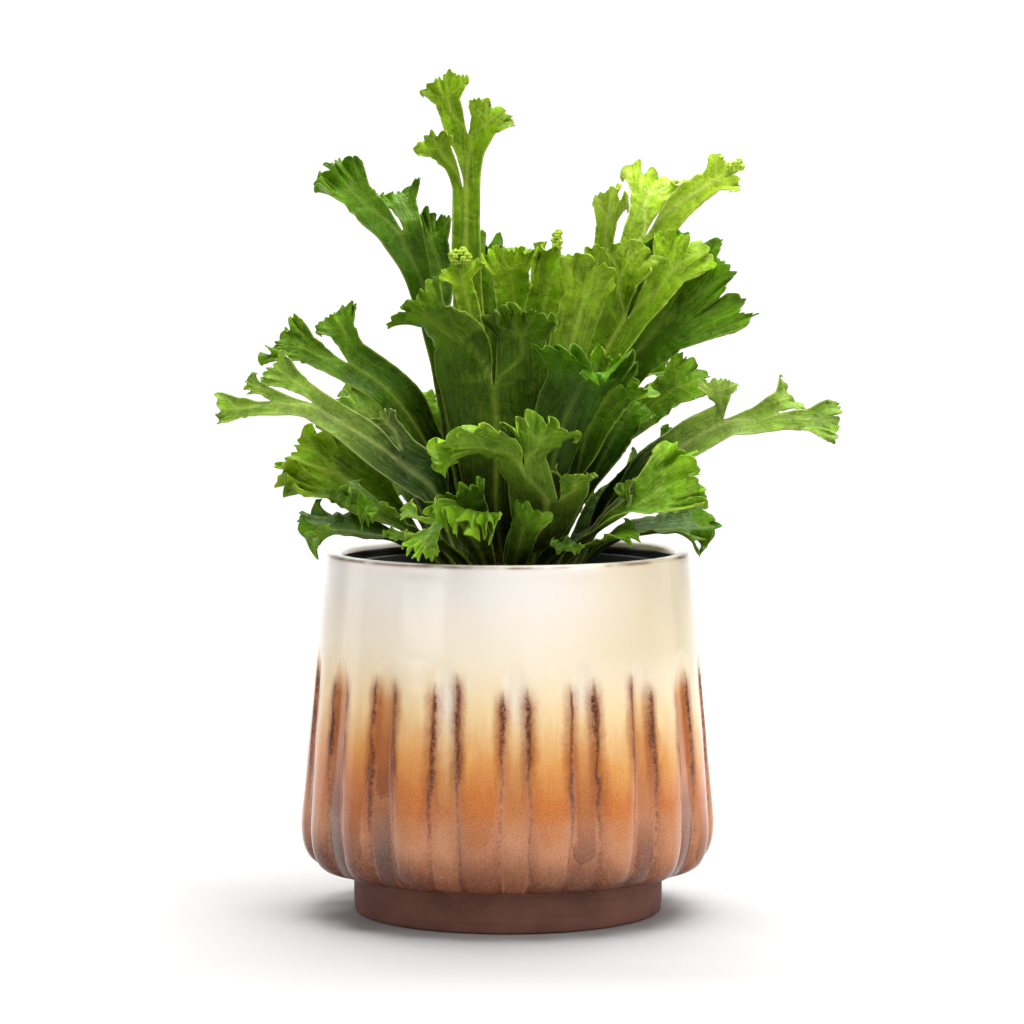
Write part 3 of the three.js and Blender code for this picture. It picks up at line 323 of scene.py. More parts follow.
# Young crests still curled up: the frond, their middle, how far they reach and how many knobs
YOUNG_TIPS = [
    ("left_curl", (-17.8, -7.6, 243.0), (4.2, 1.6, 2.8), 16),
    ("centre_light", (18.0, 4.6, 249.0), (1.5, 1.2, 3.8), 9),
    ("upper_right", (85.4, 22.2, 276.8), (2.4, 1.4, 2.0), 8)]
KNOB_RADIUS = 1.15
KNOB_FOLD = 0.28
KNOB_PACKING = 0.8
GOLDEN_TURN = 2.4

# The most that a scattered lump is spun, in radians
FULL_TURN = 6.28

# Which fronds are not old and dark: the youngest are yellow green, the outstretched ones pale, some in shade
LEAF_OF = {
    "young": ("upper_right",),
    "fresh": ("top", "right_fan", "centre_light", "centre_right", "back_light", "left_curl", "left_fan"),
    "pale": ("left_reach", "right_reach", "left_pale"),
    "light": ("left_back", "right_crest", "front", "front_left_rim"),
    "grown": ("middle", "left_upper", "right_middle", "right_light_strap", "back_upright", "back",
              "back_right", "left_tongue"),
    "shaded": ("front_cup", "right_dark_strap", "left_low", "right_inner"),
}

# Each kind of leaf: its colours at the root, dark green there as painted shade low in the crown, on the
# blade, at the crest, and on veins and margin; then how much of that last colour the underside, the margin
# and the veins have; its roughness and gloss; and where the root's painted shade ends, from 0 at the root to
# 1 at the crest
LEAVES = {
    "young": ((84, 120, 8), (134, 170, 24), (162, 196, 40), (214, 226, 120), 0.15, 0.45, 0.45, 1, 0.12, 0.16),
    "fresh": ((46, 80, 1), (86, 122, 2), (126, 166, 12), (198, 214, 90), 0.08, 0.45, 0.3, 1, 0.1, 0.16),
    "pale": ((28, 56, 4), (122, 152, 50), (120, 160, 36), (194, 208, 122), 0.16, 0.45, 0.2, 1, 0.12, 0.3),
    "light": ((20, 44, 1), (80, 122, 8), (120, 166, 22), (184, 204, 84), 0.08, 0.55, 0.22, 1, 0.12, 0.22),
    "grown": ((18, 36, 0), (50, 82, 1), (94, 136, 8), (160, 182, 66), 0.04, 0.5, 0.2, 0.95, 0.1, 0.16),
    # The shaded kind's darker greens are painted shade on fronds that lie in shade
    "shaded": ((8, 22, 0), (34, 66, 2), (74, 120, 8), (150, 178, 70), 0.04, 0.5, 0.16, 0.8, 0.12, 0.24),
    "old": ((20, 38, 0), (60, 98, 1), (88, 132, 8), (156, 176, 74), 0.06, 0.45, 0.24, 0.85, 0.13, 0.16),
}

# Camera, in metres
CAMERA_PLACE = (0.0015, -1.5, 0.258)
CAMERA_TARGET = (0.0015, 0.0, 0.1484)
METRES_PER_PIXEL = 0.000371
PICTURE_WIDTH = 1024
SENSOR = 36.0

# Soft lights, in metres and watts: place, what each looks at, width and height, and power
PLANT_MIDDLE = (0, 0, 0.17)
LIGHTS = {
    "top": ((0.2, -0.05, 1.5), PLANT_MIDDLE, (1.1, 1.1), 30),
    "key": ((1.1, -1.1, 0.95), PLANT_MIDDLE, (0.9, 1.1), 13),
    "fill": ((-1.3, -1.0, 0.8), PLANT_MIDDLE, (0.9, 1.2), 7),
    "left_strip": ((-1.1, 0.35, 0.5), PLANT_MIDDLE, (0.4, 1.0), 1.0),
    "right_strip": ((1.0, 0.35, 0.5), PLANT_MIDDLE, (0.4, 1.0), 0.7),
    "backdrop_light": ((0, 1.2, 2.3), (0, 2.6, 0.3), (3.0, 0.6), 140),
}
SURROUND_STRENGTH = 0.12

# Floor: a sheet that bends up behind the object
FLOOR_HALF_WIDTH = 3000
FLOOR_FRONT = -2400
FLOOR_BEND = 2100
FLOOR_BEND_RADIUS = 700
FLOOR_TOP = 3600


# Curves and noise

def smooth(t):
    return t * t * (3 - 2 * t)


def ramp(value, low, high):
    return smooth(np.clip((value - low) / (high - low), 0, 1))


def unit(vectors):
    return vectors / np.maximum(np.linalg.norm(vectors, axis=-1, keepdims=True), 1e-9)


def scramble(number, seed):
    """A number from 0 to 1 that looks random, for each whole number."""
    return np.abs(np.modf(np.sin(number * 12.9898 + seed * 78.233) * 43758.5453)[0])


def wander(value, seed):
    """Smooth noise from 0 to 1 along a line."""
    whole = np.floor(value)
    here, there = scramble(whole, seed), scramble(whole + 1, seed)
    return here + (there - here) * smooth(value - whole)


def teeth(value, seed):
    """How far a toothed margin is cut back: 0 on the round tip of each tooth, up to 1 in the notches."""
    value = value + 0.7 * wander(value * 0.6, seed + 2)
    notch = np.abs(2 * (value - np.floor(value)) - 1) ** 1.3
    depth = 0.35 + 0.65 * scramble(np.round(value), seed)
    return notch * depth


def bend_between(t, slope_a, slope_b):
    """How far slopes at both ends pull a curve off the smooth way between two stations."""
    return (t ** 3 - 2 * t * t + t) * slope_a + (t ** 3 - t * t) * slope_b


# Straps

def make_curve(stations, start_slope):
    """A smooth curve through stations, which leaves the first one along start_slope."""
    stations = np.array(stations, float)
    steps = np.linalg.norm(np.diff(stations[:, :3], axis=0), axis=1)
    reach = np.concatenate([[0.0], np.cumsum(steps)])
    last = len(stations) - 1
    slopes = np.empty_like(stations)
    for i in range(last + 1):
        before, after = max(0, i - 1), min(last, i + 1)
        slopes[i] = (stations[after] - stations[before]) / (reach[after] - reach[before])
    slopes[0, :3] = start_slope
    return {"stations": stations, "slopes": slopes, "reach": reach, "length": reach[last]}


def curve_at(curve, s):
    """Position, width and direction at fractions s along a curve."""
    stations, slopes, reach = curve["stations"], curve["slopes"], curve["reach"]
    along = np.asarray(s, float) * curve["length"]
    i = np.searchsorted(reach[1:-1], along, side="left")
    span = (reach[i + 1] - reach[i])[:, None]
    t = (along[:, None] - reach[i][:, None]) / span
    a, b = stations[i], stations[i + 1]
    place = a + (b - a) * smooth(t) + span * bend_between(t, slopes[i], slopes[i + 1])
    turn = (3 * t * t - 4 * t + 1) * slopes[i] + (3 * t * t - 2 * t) * slopes[i + 1]
    way = (b - a) * (6 * t - 6 * t * t) + span * turn
    return place[:, :3], place[:, 3], unit(way[:, :3])


def strap_frame(strap, s):
    """Centre, width and directions along, out of the face and across, at fractions s."""
    centre, width, tangent = curve_at(strap["curve"], s)
    blend = smooth(np.asarray(s, float))[:, None]
    face = strap["face_start"] * (1 - blend) + strap["face_end"] * blend
    normal = unit(face - tangent * (face * tangent).sum(1, keepdims=True))
    return centre, width, tangent, normal, np.cross(tangent, normal)


def strap_end(strap):
    return [row[0] for row in strap_frame(strap, [1.0])]


def strap_points(strap, s, q):
    """A strap's surface at fractions s along it and q across it, from -1 to 1."""
    centre, width, _, normal, across = strap_frame(strap, s)
    s, q = np.asarray(s, float)[:, None], np.asarray(q, float)[None, :]
    channel = CHANNEL * width[:, None] * (q * q - 1 / 3) * smooth(np.minimum(1, s * strap["rows"]))
    side = np.where(q > 0, np.pi, 0)
    ruffle = STRAP_RUFFLE * s * np.abs(q) ** RUFFLE_POWER * np.cos(np.pi * strap["rows"] * s + side)
    reach = strap_margin(strap, s, q, width[:, None])
    lift = channel + ruffle + strap_frill(strap, s, q)
    return (centre[:, None] + across[:, None] * (q * reach / 2)[..., None]
            + normal[:, None] * lift[..., None])


def strap_window(strap, s):
    """Where along a strap its margin is frilled and toothed: hardly, but for the stretch below a crest."""
    if strap["forks"]:
        rows = strap["rows"]
        return FORKED_SHARE * ramp(s * rows, 0, 1.2) * (1 - ramp(s * rows, rows - 0.8, rows))
    length = strap["curve"]["length"]
    below_crest = ramp(s * length, length - CREST_STRETCH, length)
    return PLAIN_SHARE * ramp(s, 0, 0.3) + (1 - PLAIN_SHARE) * below_crest


def strap_margin(strap, s, q, width):
    along = s * strap["curve"]["length"] / TOOTH_PITCH + 7 * np.sign(q)
    cut = STRAP_TEETH * teeth(along, strap["seed"]) * np.abs(q) ** STRAP_TEETH_POWER
    return width - cut * strap_window(strap, s) * np.minimum(1, width / BROAD_STRAP)


def strap_frill(strap, s, q):
    along = s * strap["curve"]["length"] / FRILL_PITCH + 3 * np.sign(q)
    wave = np.sin(2 * np.pi * (along + 1.5 * wander(along / 2, strap["seed"])))
    return STRAP_FRILL * wave * np.abs(q) ** 3 * strap_window(strap, s)


# Fans of lobes

def lobe_reach(crest, phase, seed):
    """How far the lobes of a fan reach, as a share of its full reach: every lobe and cut differs a little."""
    bump = np.abs(np.sin(np.pi * phase)) ** LOBE_POWER
    before = np.floor(phase - 0.5)
    blend = smooth(phase - 0.5 - before)
    trim = [LOBE_VARIETY * np.abs(np.sin(LOBE_TURN * (before + i) + seed)) for i in (0, 1)]
    lobe = 1 - (trim[0] * (1 - blend) + trim[1] * blend)
    cut = CUT_LEAST + CUT_VARIETY * np.abs(np.sin(CUT_TURN * np.floor(phase + 0.5) + seed))
    side = 2 * phase / crest["lobes"] - 1
    return lobe * (1 - SIDE_TAPER * side * side) * (1 - cut * (1 - bump))


def fan_points(strap, crest, q, t):
    """The fan that ends a strap: fractions q across it, at one share t of the way out to the lobes' tips."""
    seed = strap["seed"]
    _, width, tangent, normal, across = strap_end(strap)
    half_arc = math.radians(crest["spread"])
    arc = width + 2 * crest["reach"] * half_arc
    phase = (q + 1) / 2 * crest["lobes"]
    uneven = phase + LOBE_SHIFT * (wander(phase * 0.8 + seed, seed) - 0.5) * (1 - q ** 8)
    round_lobe = np.abs(np.sin(np.pi * uneven * SMALL_LOBES + seed))
    small = SMALL_LOBE_DEPTH * (1 - round_lobe ** 0.6) * scramble(np.round(uneven * SMALL_LOBES), seed)
    nick = TOOTH_DEPTH * teeth(q * arc / 2 / TOOTH_PITCH, seed)
    full = crest["reach"] * lobe_reach(crest, uneven, seed)
    corner = CORNER_CUT * np.abs(q) ** CORNER_POWER
    at_tip = t ** TIP_POWER
    distance = full * t - (small + corner) * min(1, crest["reach"] / LONG_FAN) * at_tip - nick * at_tip
    side = teeth(full * t / TOOTH_PITCH + 5 * np.sign(q), seed + 1) * np.abs(q) ** SIDE_TEETH_POWER
    turn = half_arc * q * (1 - SIDE_TEETH * side * t / np.maximum(width / 2 + distance * half_arc, 2))
    outward = tangent * np.cos(turn)[:, None] + across * np.sin(turn)[:, None]
    curl = math.radians(crest["curl"])
    bend = curl * distance / crest["reach"]
    bend_radius = crest["reach"] / curl
    lifted, swayed = crest_ruffle(crest, uneven, t, arc, seed)
    lift = bend_radius * (1 - np.cos(bend)) + lifted * np.cos(bend)
    out = bend_radius * np.sin(bend) - lifted * np.sin(bend)
    start = strap_points(strap, [1.0], q)[0]
    sideways = np.cross(normal, outward) * swayed[:, None]
    return start + outward * out[:, None] + normal * lift[:, None] + sideways, distance, full - distance


def crest_ruffle(crest, phase, t, arc, seed):
    """How far a crest is lifted off its fan and swayed sideways: broad waves first, then frills."""
    lobe_width = arc / crest["lobes"]
    size = min(1, crest["reach"] / 20) * min(1.25, lobe_width / 9) * crest["calm"]
    swell = 0.45 + 1.1 * wander(phase * 0.7, seed + 6)
    pleat = FAN_PLEAT * t ** RUFFLE_POWER * np.cos(2 * np.pi * phase) * swell
    broad = BROAD_WAVE * t ** 1.8 * (wander(phase * 0.9, seed + 11) - 0.5) * 2
    way = 2 * np.pi * (phase * 1.15 + 1.2 * wander(phase * 0.9, seed))
    frill = FRILL_HEIGHT * t ** 2.6 * np.sin(way) * (0.3 + 1.2 * wander(phase * 1.7, seed + 3))
    way_fine = 2 * np.pi * (phase * arc / crest["lobes"] / FRILL_PITCH + 1.5 * wander(phase * 2, seed + 4))
    at_tip = t ** TIP_POWER
    fine = FINE_FRILL * FRILL_HEIGHT * at_tip * np.sin(way_fine) * wander(phase * 2.3, seed + 5)
    sway = SWAY * t ** 2.5 * np.cos(way + 0.8) * (0.3 + wander(phase * 1.3, seed + 8))
    return (pleat + broad + frill + fine) * size, sway * size


# Sheets of triangles

class Sheet:
    """Points with marks for the leaf's colours, and the triangles between them."""

    def __init__(self):
        self.points, self.faces, self.marks, self.count = [], [], [], 0

    def add(self, points, thickness, **marks):
        """A row of points; marks are numbers or one for each point."""
        size = len(points)
        self.points.append(points)
        table = {"thickness": thickness, **marks}
        self.marks.append({key: np.broadcast_to(value, (size,)) for key, value in table.items()})
        index = np.arange(self.count, self.count + size)
        self.count += size
        return index

    def zip(self, lower_q, lower, upper_q, upper):
        """Triangles between two rows whose vertices needn't match."""
        if len(lower_q) == len(upper_q) and np.allclose(lower_q, upper_q):
            self.faces.append(np.stack([lower[:-1], lower[1:], upper[:-1]], 1))
            self.faces.append(np.stack([lower[1:], upper[1:], upper[:-1]], 1))
            return
        i = j = 0
        made = []
        while i < len(lower) - 1 or j < len(upper) - 1:
            next_lower = lower_q[i + 1] if i < len(lower) - 1 else np.inf
            next_upper = upper_q[j + 1] if j < len(upper) - 1 else np.inf
            if next_lower <= next_upper:
                made.append((lower[i], lower[i + 1], upper[j]))
                i += 1
            else:
                made.append((lower[i], upper[j + 1], upper[j]))
                j += 1
        self.faces.append(np.array(made))

    def joined(self):
        points = np.concatenate(self.points)
        marks = {key: np.concatenate([row[key] for row in self.marks]) for key in self.marks[0]}
        return points, np.concatenate(self.faces), marks


def sheet_normals(points, faces):
    corners = points[faces]
    normals = np.cross(corners[:, 1] - corners[:, 0], corners[:, 2] - corners[:, 0])
    total = np.zeros_like(points)
    for corner in range(3):
        np.add.at(total, faces[:, corner], normals)
    return unit(total)


def open_edges(faces, count):
    """Edges that only one triangle uses, in its direction."""
    pairs = np.concatenate([faces[:, [0, 1]], faces[:, [1, 2]], faces[:, [2, 0]]])
    forward, backward = pairs[:, 0] * count + pairs[:, 1], pairs[:, 1] * count + pairs[:, 0]
    return pairs[~np.isin(forward, backward)]


def thicken(sheet):
    """A closed blade from a sheet: both faces and the walls around its margin."""
    points, faces, marks = sheet.joined()
    count = len(points)
    offset = sheet_normals(points, faces) * marks["thickness"][:, None] / 2
    edges = open_edges(faces, count)
    walls = np.concatenate([
        np.stack([edges[:, 1], edges[:, 0], edges[:, 0] + count], 1),
        np.stack([edges[:, 1], edges[:, 0] + count, edges[:, 1] + count], 1)])
    all_faces = np.concatenate([faces, faces[:, [0, 2, 1]] + count, walls])
    both = {key: np.concatenate([value, value]) for key, value in marks.items()}
    both["under"] = np.repeat([0.0, 1.0], count)
    return np.concatenate([points + offset, points - offset]), all_faces, both


# Fronds

def dome_height(radius):
    return SOIL_HEIGHT + CROWN_RISE * (1 - (radius / CROWN_RADIUS) ** 2)


def root_place(ring, azimuth):
    """Where a frond stands on the crown, the way it leaves it, and the way its root faces."""
    radius, lean = RINGS[ring]
    angle, lean = math.radians(azimuth), math.radians(lean)
    outward = np.array([math.cos(angle), math.sin(angle), 0.0])
    foot = outward * radius + np.array([0, 0, dome_height(radius)])
    direction = outward * math.sin(lean) + np.array([0, 0, math.cos(lean)])
    face = unit(-outward + direction * (outward @ direction))
    return foot, direction, face, np.cross(direction, face)


def blade_thickness(q):
    return MARGIN_THICKNESS + (RIB_THICKNESS - MARGIN_THICKNESS) * (1 - np.abs(q)) ** 3


def first_place(limb):
    return np.array(limb["path"][0][:3], float)


def ordered_arms(limb, strap):
    """Arms in order across the strap, and where the strap is split between them."""
    centre, _, _, _, across = strap_end(strap)
    arms = sorted(limb["ends"], key=lambda child: (first_place(child) - centre) @ across)
    return arms, 2 * arms[0]["share"] - 1


def vein_mark(q, centres, half_width, breadth):
    """How much a vein shows: 1 on the nearest of its lines, which lie at centres across the blade."""
    lines = [np.exp(-((q - centre) * half_width / breadth) ** 2) for centre in centres]
    return np.max(lines, axis=0)


def make_strap(limb, row_points, start_slope, face_start, root):
    """A limb's strap, from its first row: its curve, how it faces at both ends and what it does there."""
    start = (row_points[0] + row_points[-1]) / 2
    first_width = np.linalg.norm(row_points[-1] - row_points[0])
    curve = make_curve([[*start, first_width], *limb["path"]], start_slope)
    return {
        "curve": curve, "face_start": face_start, "face_end": unit(np.array(limb["face"], float)),
        "rows": max(1, math.floor(curve["length"] / ROW_STEP + 0.5)),
        "seed": limb["path"][0][0] + limb["path"][0][2],
        "root": root, "forks": len(limb["ends"]) > 1,
    }


def strap_rows(strap, row_q, row_points, q):
    """Fractions along a strap, its widths there and its rows of points, which grow out of the first row."""
    curve = strap["curve"]
    count = max(3, round(curve["length"] / FINE_ROW))
    s = np.arange(1, count + 1) / count
    place, width, _ = curve_at(curve, s)
    held = np.stack([np.interp(q, row_q, row_points[:, axis]) for axis in range(3)], 1)
    moved = held[None] + (place - curve["stations"][0, :3])[:, None]
    blend = smooth(np.minimum(1, s * strap["rows"]))[:, None, None]
    return s, width, moved * (1 - blend) + strap_points(strap, s, q) * blend


def grow_arm(sheet, limb, row_q, row, row_points, start_slope, face_start, grown, total,
             rib_at=0.0, flow_at=0.0):
    """Grows one arm from its first row: its strap, then two more arms or a fan."""
    strap = make_strap(limb, row_points, start_slope, face_start, grown == 0)
    q = np.linspace(-1, 1, STRAP_COLUMNS + 1)
    if strap["forks"]:
        arms, split = ordered_arms(limb, strap)
        q_left, q_right = np.linspace(-1, split, FORK_COLUMNS + 1), np.linspace(split, 1, FORK_COLUMNS + 1)
        q = np.concatenate([q_left, q_right[1:]])
    s, width, points = strap_rows(strap, row_q, row_points, q)
    length = strap["curve"]["length"]
    for k in range(len(s)):
        come = s[k] * length
        root = 1 - ramp(come, 0, ROOT_LENGTH) if strap["root"] else 0.0
        index = sheet.add(
            points[k], blade_thickness(q) * (1 - root) + ROOT_THICKNESS * root,
            along=(grown + come) / total, edge=(1 - np.abs(q)) * width[k] / 2,
            rib=vein_mark(q, [rib_at * (1 - smooth(min(1, s[k] * 1.3)))], width[k] / 2, RIB_BREADTH),
            flow_u=flow_at + q * width[k] / 2, flow_v=grown + come)
        sheet.zip(row_q, row, q, index)
        row_q, row = q, index
    if strap["forks"]:
        grow_fork(sheet, arms, strap, q, row, points[-1], width[-1], grown + length, total, flow_at)
    else:
        grow_fan(sheet, limb["ends"][0], strap, q, row, width[-1], grown + length, total, flow_at)


def grow_fork(sheet, arms, strap, q, row, points, width, grown, total, flow_at):
    """Both arms of a fork, each from its part of the strap's last row."""
    centre, _, tangent, normal, _ = strap_end(strap)
    child_q = np.linspace(-1, 1, FORK_COLUMNS + 1)
    for child, low in zip(arms, (0, FORK_COLUMNS)):
        part = slice(low, low + FORK_COLUMNS + 1)
        away = unit(first_place(child) - centre)
        rib = float(np.interp(0, q[part], child_q))
        flow = flow_at + (q[part][0] + q[part][-1]) / 2 * width / 2
        grow_arm(sheet, child, child_q, row[part], points[part], (away + tangent) / 2, normal,
                 grown, total, rib, flow)


def fan_veins(crest, q, t, half_width):
    """The rib divides into a vein for each lobe, and each of those into two near the margin."""
    lobes = (np.arange(crest["lobes"]) + 0.5) / crest["lobes"] * 2 - 1
    out = lobes * smooth(min(1, t * 1.8))
    apart = 0.45 / crest["lobes"] * smooth(min(1, max(0, t - 0.45) * 2.2))
    return vein_mark(q, [*(out - apart), *(out + apart)], half_width, 0.7 * RIB_BREADTH) * (1 - 0.5 * t)


def grow_fan(sheet, crest, strap, row_q, row, width, grown, total, flow_at):
    """Rings of points out to the lobes' tips, closer together and with more columns towards the margin."""
    for ring in range(1, FAN_RINGS + 1):
        t = 1 - (1 - ring / FAN_RINGS) ** RING_POWER
        columns = crest["lobes"] * next(count for end, count in LOBE_COLUMNS if ring < end)
        q = np.linspace(-1, 1, columns + 1)
        points, distance, rim = fan_points(strap, crest, q, t)
        spread = width / 2 + distance * math.radians(crest["spread"])
        side = (1 - np.abs(q)) * spread
        index = sheet.add(
            points, MARGIN_THICKNESS + (blade_thickness(q) - MARGIN_THICKNESS) * (1 - t),
            along=(grown + distance) / total, edge=np.minimum(side, np.maximum(rim, 0)),
            rib=fan_veins(crest, q, t, spread), flow_u=flow_at + q * width / 2, flow_v=grown + distance)
        sheet.zip(row_q, row, q, index)
        row_q, row = q, index


def limb_length(limb):
    """Length from a limb's start to its furthest lobes."""
    points = np.array(limb["path"], float)[:, :3]
    steps = np.linalg.norm(np.diff(points, axis=0), axis=1).sum()
    if len(limb["ends"]) == 1:
        return steps + limb["ends"][0]["reach"]
    return steps + max(np.linalg.norm(first_place(child) - points[-1]) + limb_length(child)
                       for child in limb["ends"])


def grow_frond(limb):
    """A whole blade, from its root in the crown's socket."""
    foot, direction, face, across = root_place(limb["ring"], limb["azimuth"])
    sheet = Sheet()
    q = np.linspace(-1, 1, 5)
    root = q * ROOT_WIDTH / 2
    rows = []
    for rise in (-ROOT_DEPTH, ROOT_RISE):
        points = foot + direction * rise + across * root[:, None]
        rows.append(sheet.add(points, ROOT_THICKNESS, along=0.0, edge=2.0, rib=0.5, flow_u=root, flow_v=rise))
    sheet.zip(q, rows[0], q, rows[1])
    total = np.linalg.norm(first_place(limb) - foot) + limb_length(limb)
    grow_arm(sheet, limb, q, rows[1], points, direction, face, 0, total)
    return thicken(sheet)


# Meshes and pieces

def make_mesh(name, materials, points, faces, marks=None):
    mesh = bpy.data.meshes.new(name)
    mesh.vertices.add(len(points))
    mesh.vertices.foreach_set("co", (np.asarray(points) * MM).astype(np.float32).ravel())
    faces = np.asarray(faces, np.int32)
    mesh.loops.add(faces.size)
    mesh.loops.foreach_set("vertex_index", faces.ravel())
    mesh.polygons.add(len(faces))
    mesh.polygons.foreach_set("loop_start", np.arange(0, faces.size, faces.shape[1], dtype=np.int32))
    mesh.polygons.foreach_set("use_smooth", np.ones(len(faces), bool))
    for key, value in (marks or {}).items():
        layer = mesh.attributes.new(key, "FLOAT", "POINT")
        layer.data.foreach_set("value", np.asarray(value, np.float32))
    mesh.update()
    mesh.validate()
    for material in materials:
        mesh.materials.append(material)
    return mesh


def show(name, data):
    """An object in the scene that holds a mesh, a camera or a light."""
    thing = bpy.data.objects.new(name, data)
    bpy.context.scene.collection.objects.link(thing)
    return thing


def add_piece(mesh, slot, *nodes):
    piece = show(mesh.name, mesh)
    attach(piece, "root")
    if nodes:
        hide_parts(*nodes)


# Shader nodes

def srgb(red, green, blue):
    """A colour given from 0 to 255 as a screen shows it."""
    shares = [channel / 255 for channel in (red, green, blue)]
    return [c / 12.92 if c <= 0.04045 else ((c + 0.055) / 1.055) ** 2.4 for c in shares] + [1.0]


class Value:
    """A number that changes over a surface. Plain arithmetic on it adds math nodes."""

    def __init__(self, nodes, socket):
        self.nodes, self.socket = nodes, socket

    def __add__(self, other):
        return self.nodes.math("ADD", self, other)

    def __sub__(self, other):
        return self.nodes.math("SUBTRACT", self, other)

    def __mul__(self, other):
        return self.nodes.math("MULTIPLY", self, other)

    def __truediv__(self, other):
        return self.nodes.math("DIVIDE", self, other)

    def __abs__(self):
        return self.nodes.math("ABSOLUTE", self, 0.0)


class Nodes:
    """Short ways to add and link the nodes of one tree. Values, sockets and plain numbers serve as inputs."""

    def __init__(self, tree):
        self.tree = tree

    def put(self, socket, value):
        if isinstance(value, Value):
            value = value.socket
        if isinstance(value, bpy.types.NodeSocket):
            self.tree.links.new(value, socket)
        else:
            socket.default_value = value

    def add(self, kind, inputs=None, **settings):
        node = self.tree.nodes.new(kind)
        for key, value in settings.items():
            setattr(node, key, value)
        for key, value in (inputs or {}).items():
            self.put(node.inputs[key], value)
        return node

    def math(self, operation, a, b):
        return Value(self, self.add("ShaderNodeMath", {0: a, 1: b}, operation=operation).outputs[0])

    def step(self, value, low, high, to_low=0.0, to_high=1.0):
        """A smooth rise from to_low at low to to_high at high; low may be the larger."""
        node = self.add("ShaderNodeMapRange", {0: value, 1: low, 2: high, 3: to_low, 4: to_high},
                        interpolation_type="SMOOTHSTEP")
        return Value(self, node.outputs[0])

    def mix(self, share, a, b, blend="MIX"):
        node = self.add("ShaderNodeMix", {0: share, 6: a, 7: b}, data_type="RGBA", blend_type=blend)
        return node.outputs[2]

    def ramp(self, value, stops):
        node = self.add("ShaderNodeValToRGB", {0: value})
        ramp_stops = node.color_ramp.elements
        while len(ramp_stops) < len(stops):
            ramp_stops.new(1.0)
        for stop, (place, color) in zip(ramp_stops, stops):
            stop.position = place
            stop.color = srgb(*color)
        return node.outputs[0]

    def read(self, name):
        return Value(self, self.add("ShaderNodeAttribute", attribute_name=name).outputs["Fac"])

    def vector(self, x, y, z):
        return self.add("ShaderNodeCombineXYZ", {0: x, 1: y, 2: z}).outputs[0]

    def object_place(self, stretch=(1.0, 1.0, 1.0)):
        place = self.add("ShaderNodeTexCoord").outputs["Object"]
        return self.add("ShaderNodeMapping", {"Vector": place, "Scale": stretch}).outputs[0]

    def place_along(self, axis):
        """How far a point lies along one axis, in metres."""
        place = self.add("ShaderNodeTexCoord").outputs["Object"]
        return Value(self, self.add("ShaderNodeSeparateXYZ", {0: place}).outputs[axis])

    def noise(self, place, scale, detail=3.0, roughness=0.55, distortion=0.0):
        node = self.add("ShaderNodeTexNoise", {
            "Vector": place, "Scale": scale, "Detail": detail, "Roughness": roughness,
            "Distortion": distortion})
        return Value(self, node.outputs["Fac"])

    def bump(self, height, strength, distance):
        node = self.add("ShaderNodeBump", {"Height": height, "Strength": strength, "Distance": distance})
        return node.outputs[0]


COLOR, FLOAT = "NodeSocketColor", "NodeSocketFloat"


def new_group(name, inputs, outputs):
    """A shader node group with named sockets; returns it, its nodes, its inputs and its output node."""
    group = bpy.data.node_groups.new(name, "ShaderNodeTree")
    for key, kind, value in inputs:
        socket = group.interface.new_socket(key, in_out="INPUT", socket_type=kind)
        socket.default_value = value
    for key, kind in outputs:
        group.interface.new_socket(key, in_out="OUTPUT", socket_type=kind)
    nodes = Nodes(group)
    entry = nodes.add("NodeGroupInput").outputs
    given = {key: Value(nodes, entry[key]) for key, _, _ in inputs}
    return group, nodes, given, nodes.add("NodeGroupOutput")


def new_material(name):
    material = bpy.data.materials.new(name)
    material.use_nodes = True
    return material, Nodes(material.node_tree), material.node_tree.nodes["Principled BSDF"]


# Leaves

def leaf_group():
    """Colour and relief of a blade, from its own marks and three greens from root to crest; the dark green at
    the root is painted shade.
    """
    group, n, given, out = new_group(
        "leaf_tissue",
        [("Root Shade", COLOR, srgb(30, 60, 14)), ("Body", COLOR, srgb(70, 125, 30)),
         ("Tip", COLOR, srgb(110, 165, 45)), ("Pale", COLOR, srgb(190, 205, 130)),
         ("Under", FLOAT, 0.3), ("Margin", FLOAT, 0.5), ("Veins", FLOAT, 0.2), ("Root", FLOAT, 0.16)],
        [("Color", COLOR), ("Roughness", FLOAT), ("Height", FLOAT)])
    along, rib, edge, under = (n.read(name) for name in ("along", "rib", "edge", "under"))
    flow = n.vector(n.read("flow_u"), n.read("flow_v") * 0.07, under)
    streak = n.noise(flow, 0.75, 3.0, 0.6)
    fine_vein = n.step(abs(n.noise(flow, 1.1, 2.0, 0.5, 0.6) - 0.5), 0.07, 0.0)
    place = n.object_place()
    patch = n.noise(place, 55.0, 3.0)
    pucker = n.noise(place, 170.0, 2.0, 0.5, 0.6)
    grain = n.noise(place, 900.0, 2.0, 0.7)
    way = along + (patch - 0.5) * 0.25
    # Painted shade: the root's dark green stands for the shade that the fronds cast on each other low in the
    # crown
    color = n.mix(n.step(way, given["Root"], 0.7), given["Root Shade"], given["Body"])
    color = n.mix(n.step(way, 0.62, 0.98), color, given["Tip"])
    color = n.mix(under * given["Under"], color, given["Pale"])
    light = streak * 0.3 + grain * 0.45 + patch * 0.5 + (pucker - 0.5) * 0.5
    light = n.step(light, 0.35, 0.9, 0.5, 1.5)
    color = n.mix(1.0, color, n.vector(light, light, light), "MULTIPLY")
    color = n.mix(fine_vein * (given["Veins"] * 0.5), color, given["Pale"])
    color = n.mix(rib * (given["Veins"] * n.step(along, 0.9, 0.2, 1.0, 2.2)), color, given["Pale"])
    color = n.mix(n.step(edge, 0.7, 0.1) * given["Margin"], color, given["Pale"])
    n.put(out.inputs["Color"], color)
    n.put(out.inputs["Roughness"], n.step(streak, 0.2, 0.8, 0.5, 0.34))
    n.put(out.inputs["Height"], streak * 0.7 + grain * 0.25 + pucker * 3.2 + fine_vein * 0.25 + rib * 0.5)
    return group


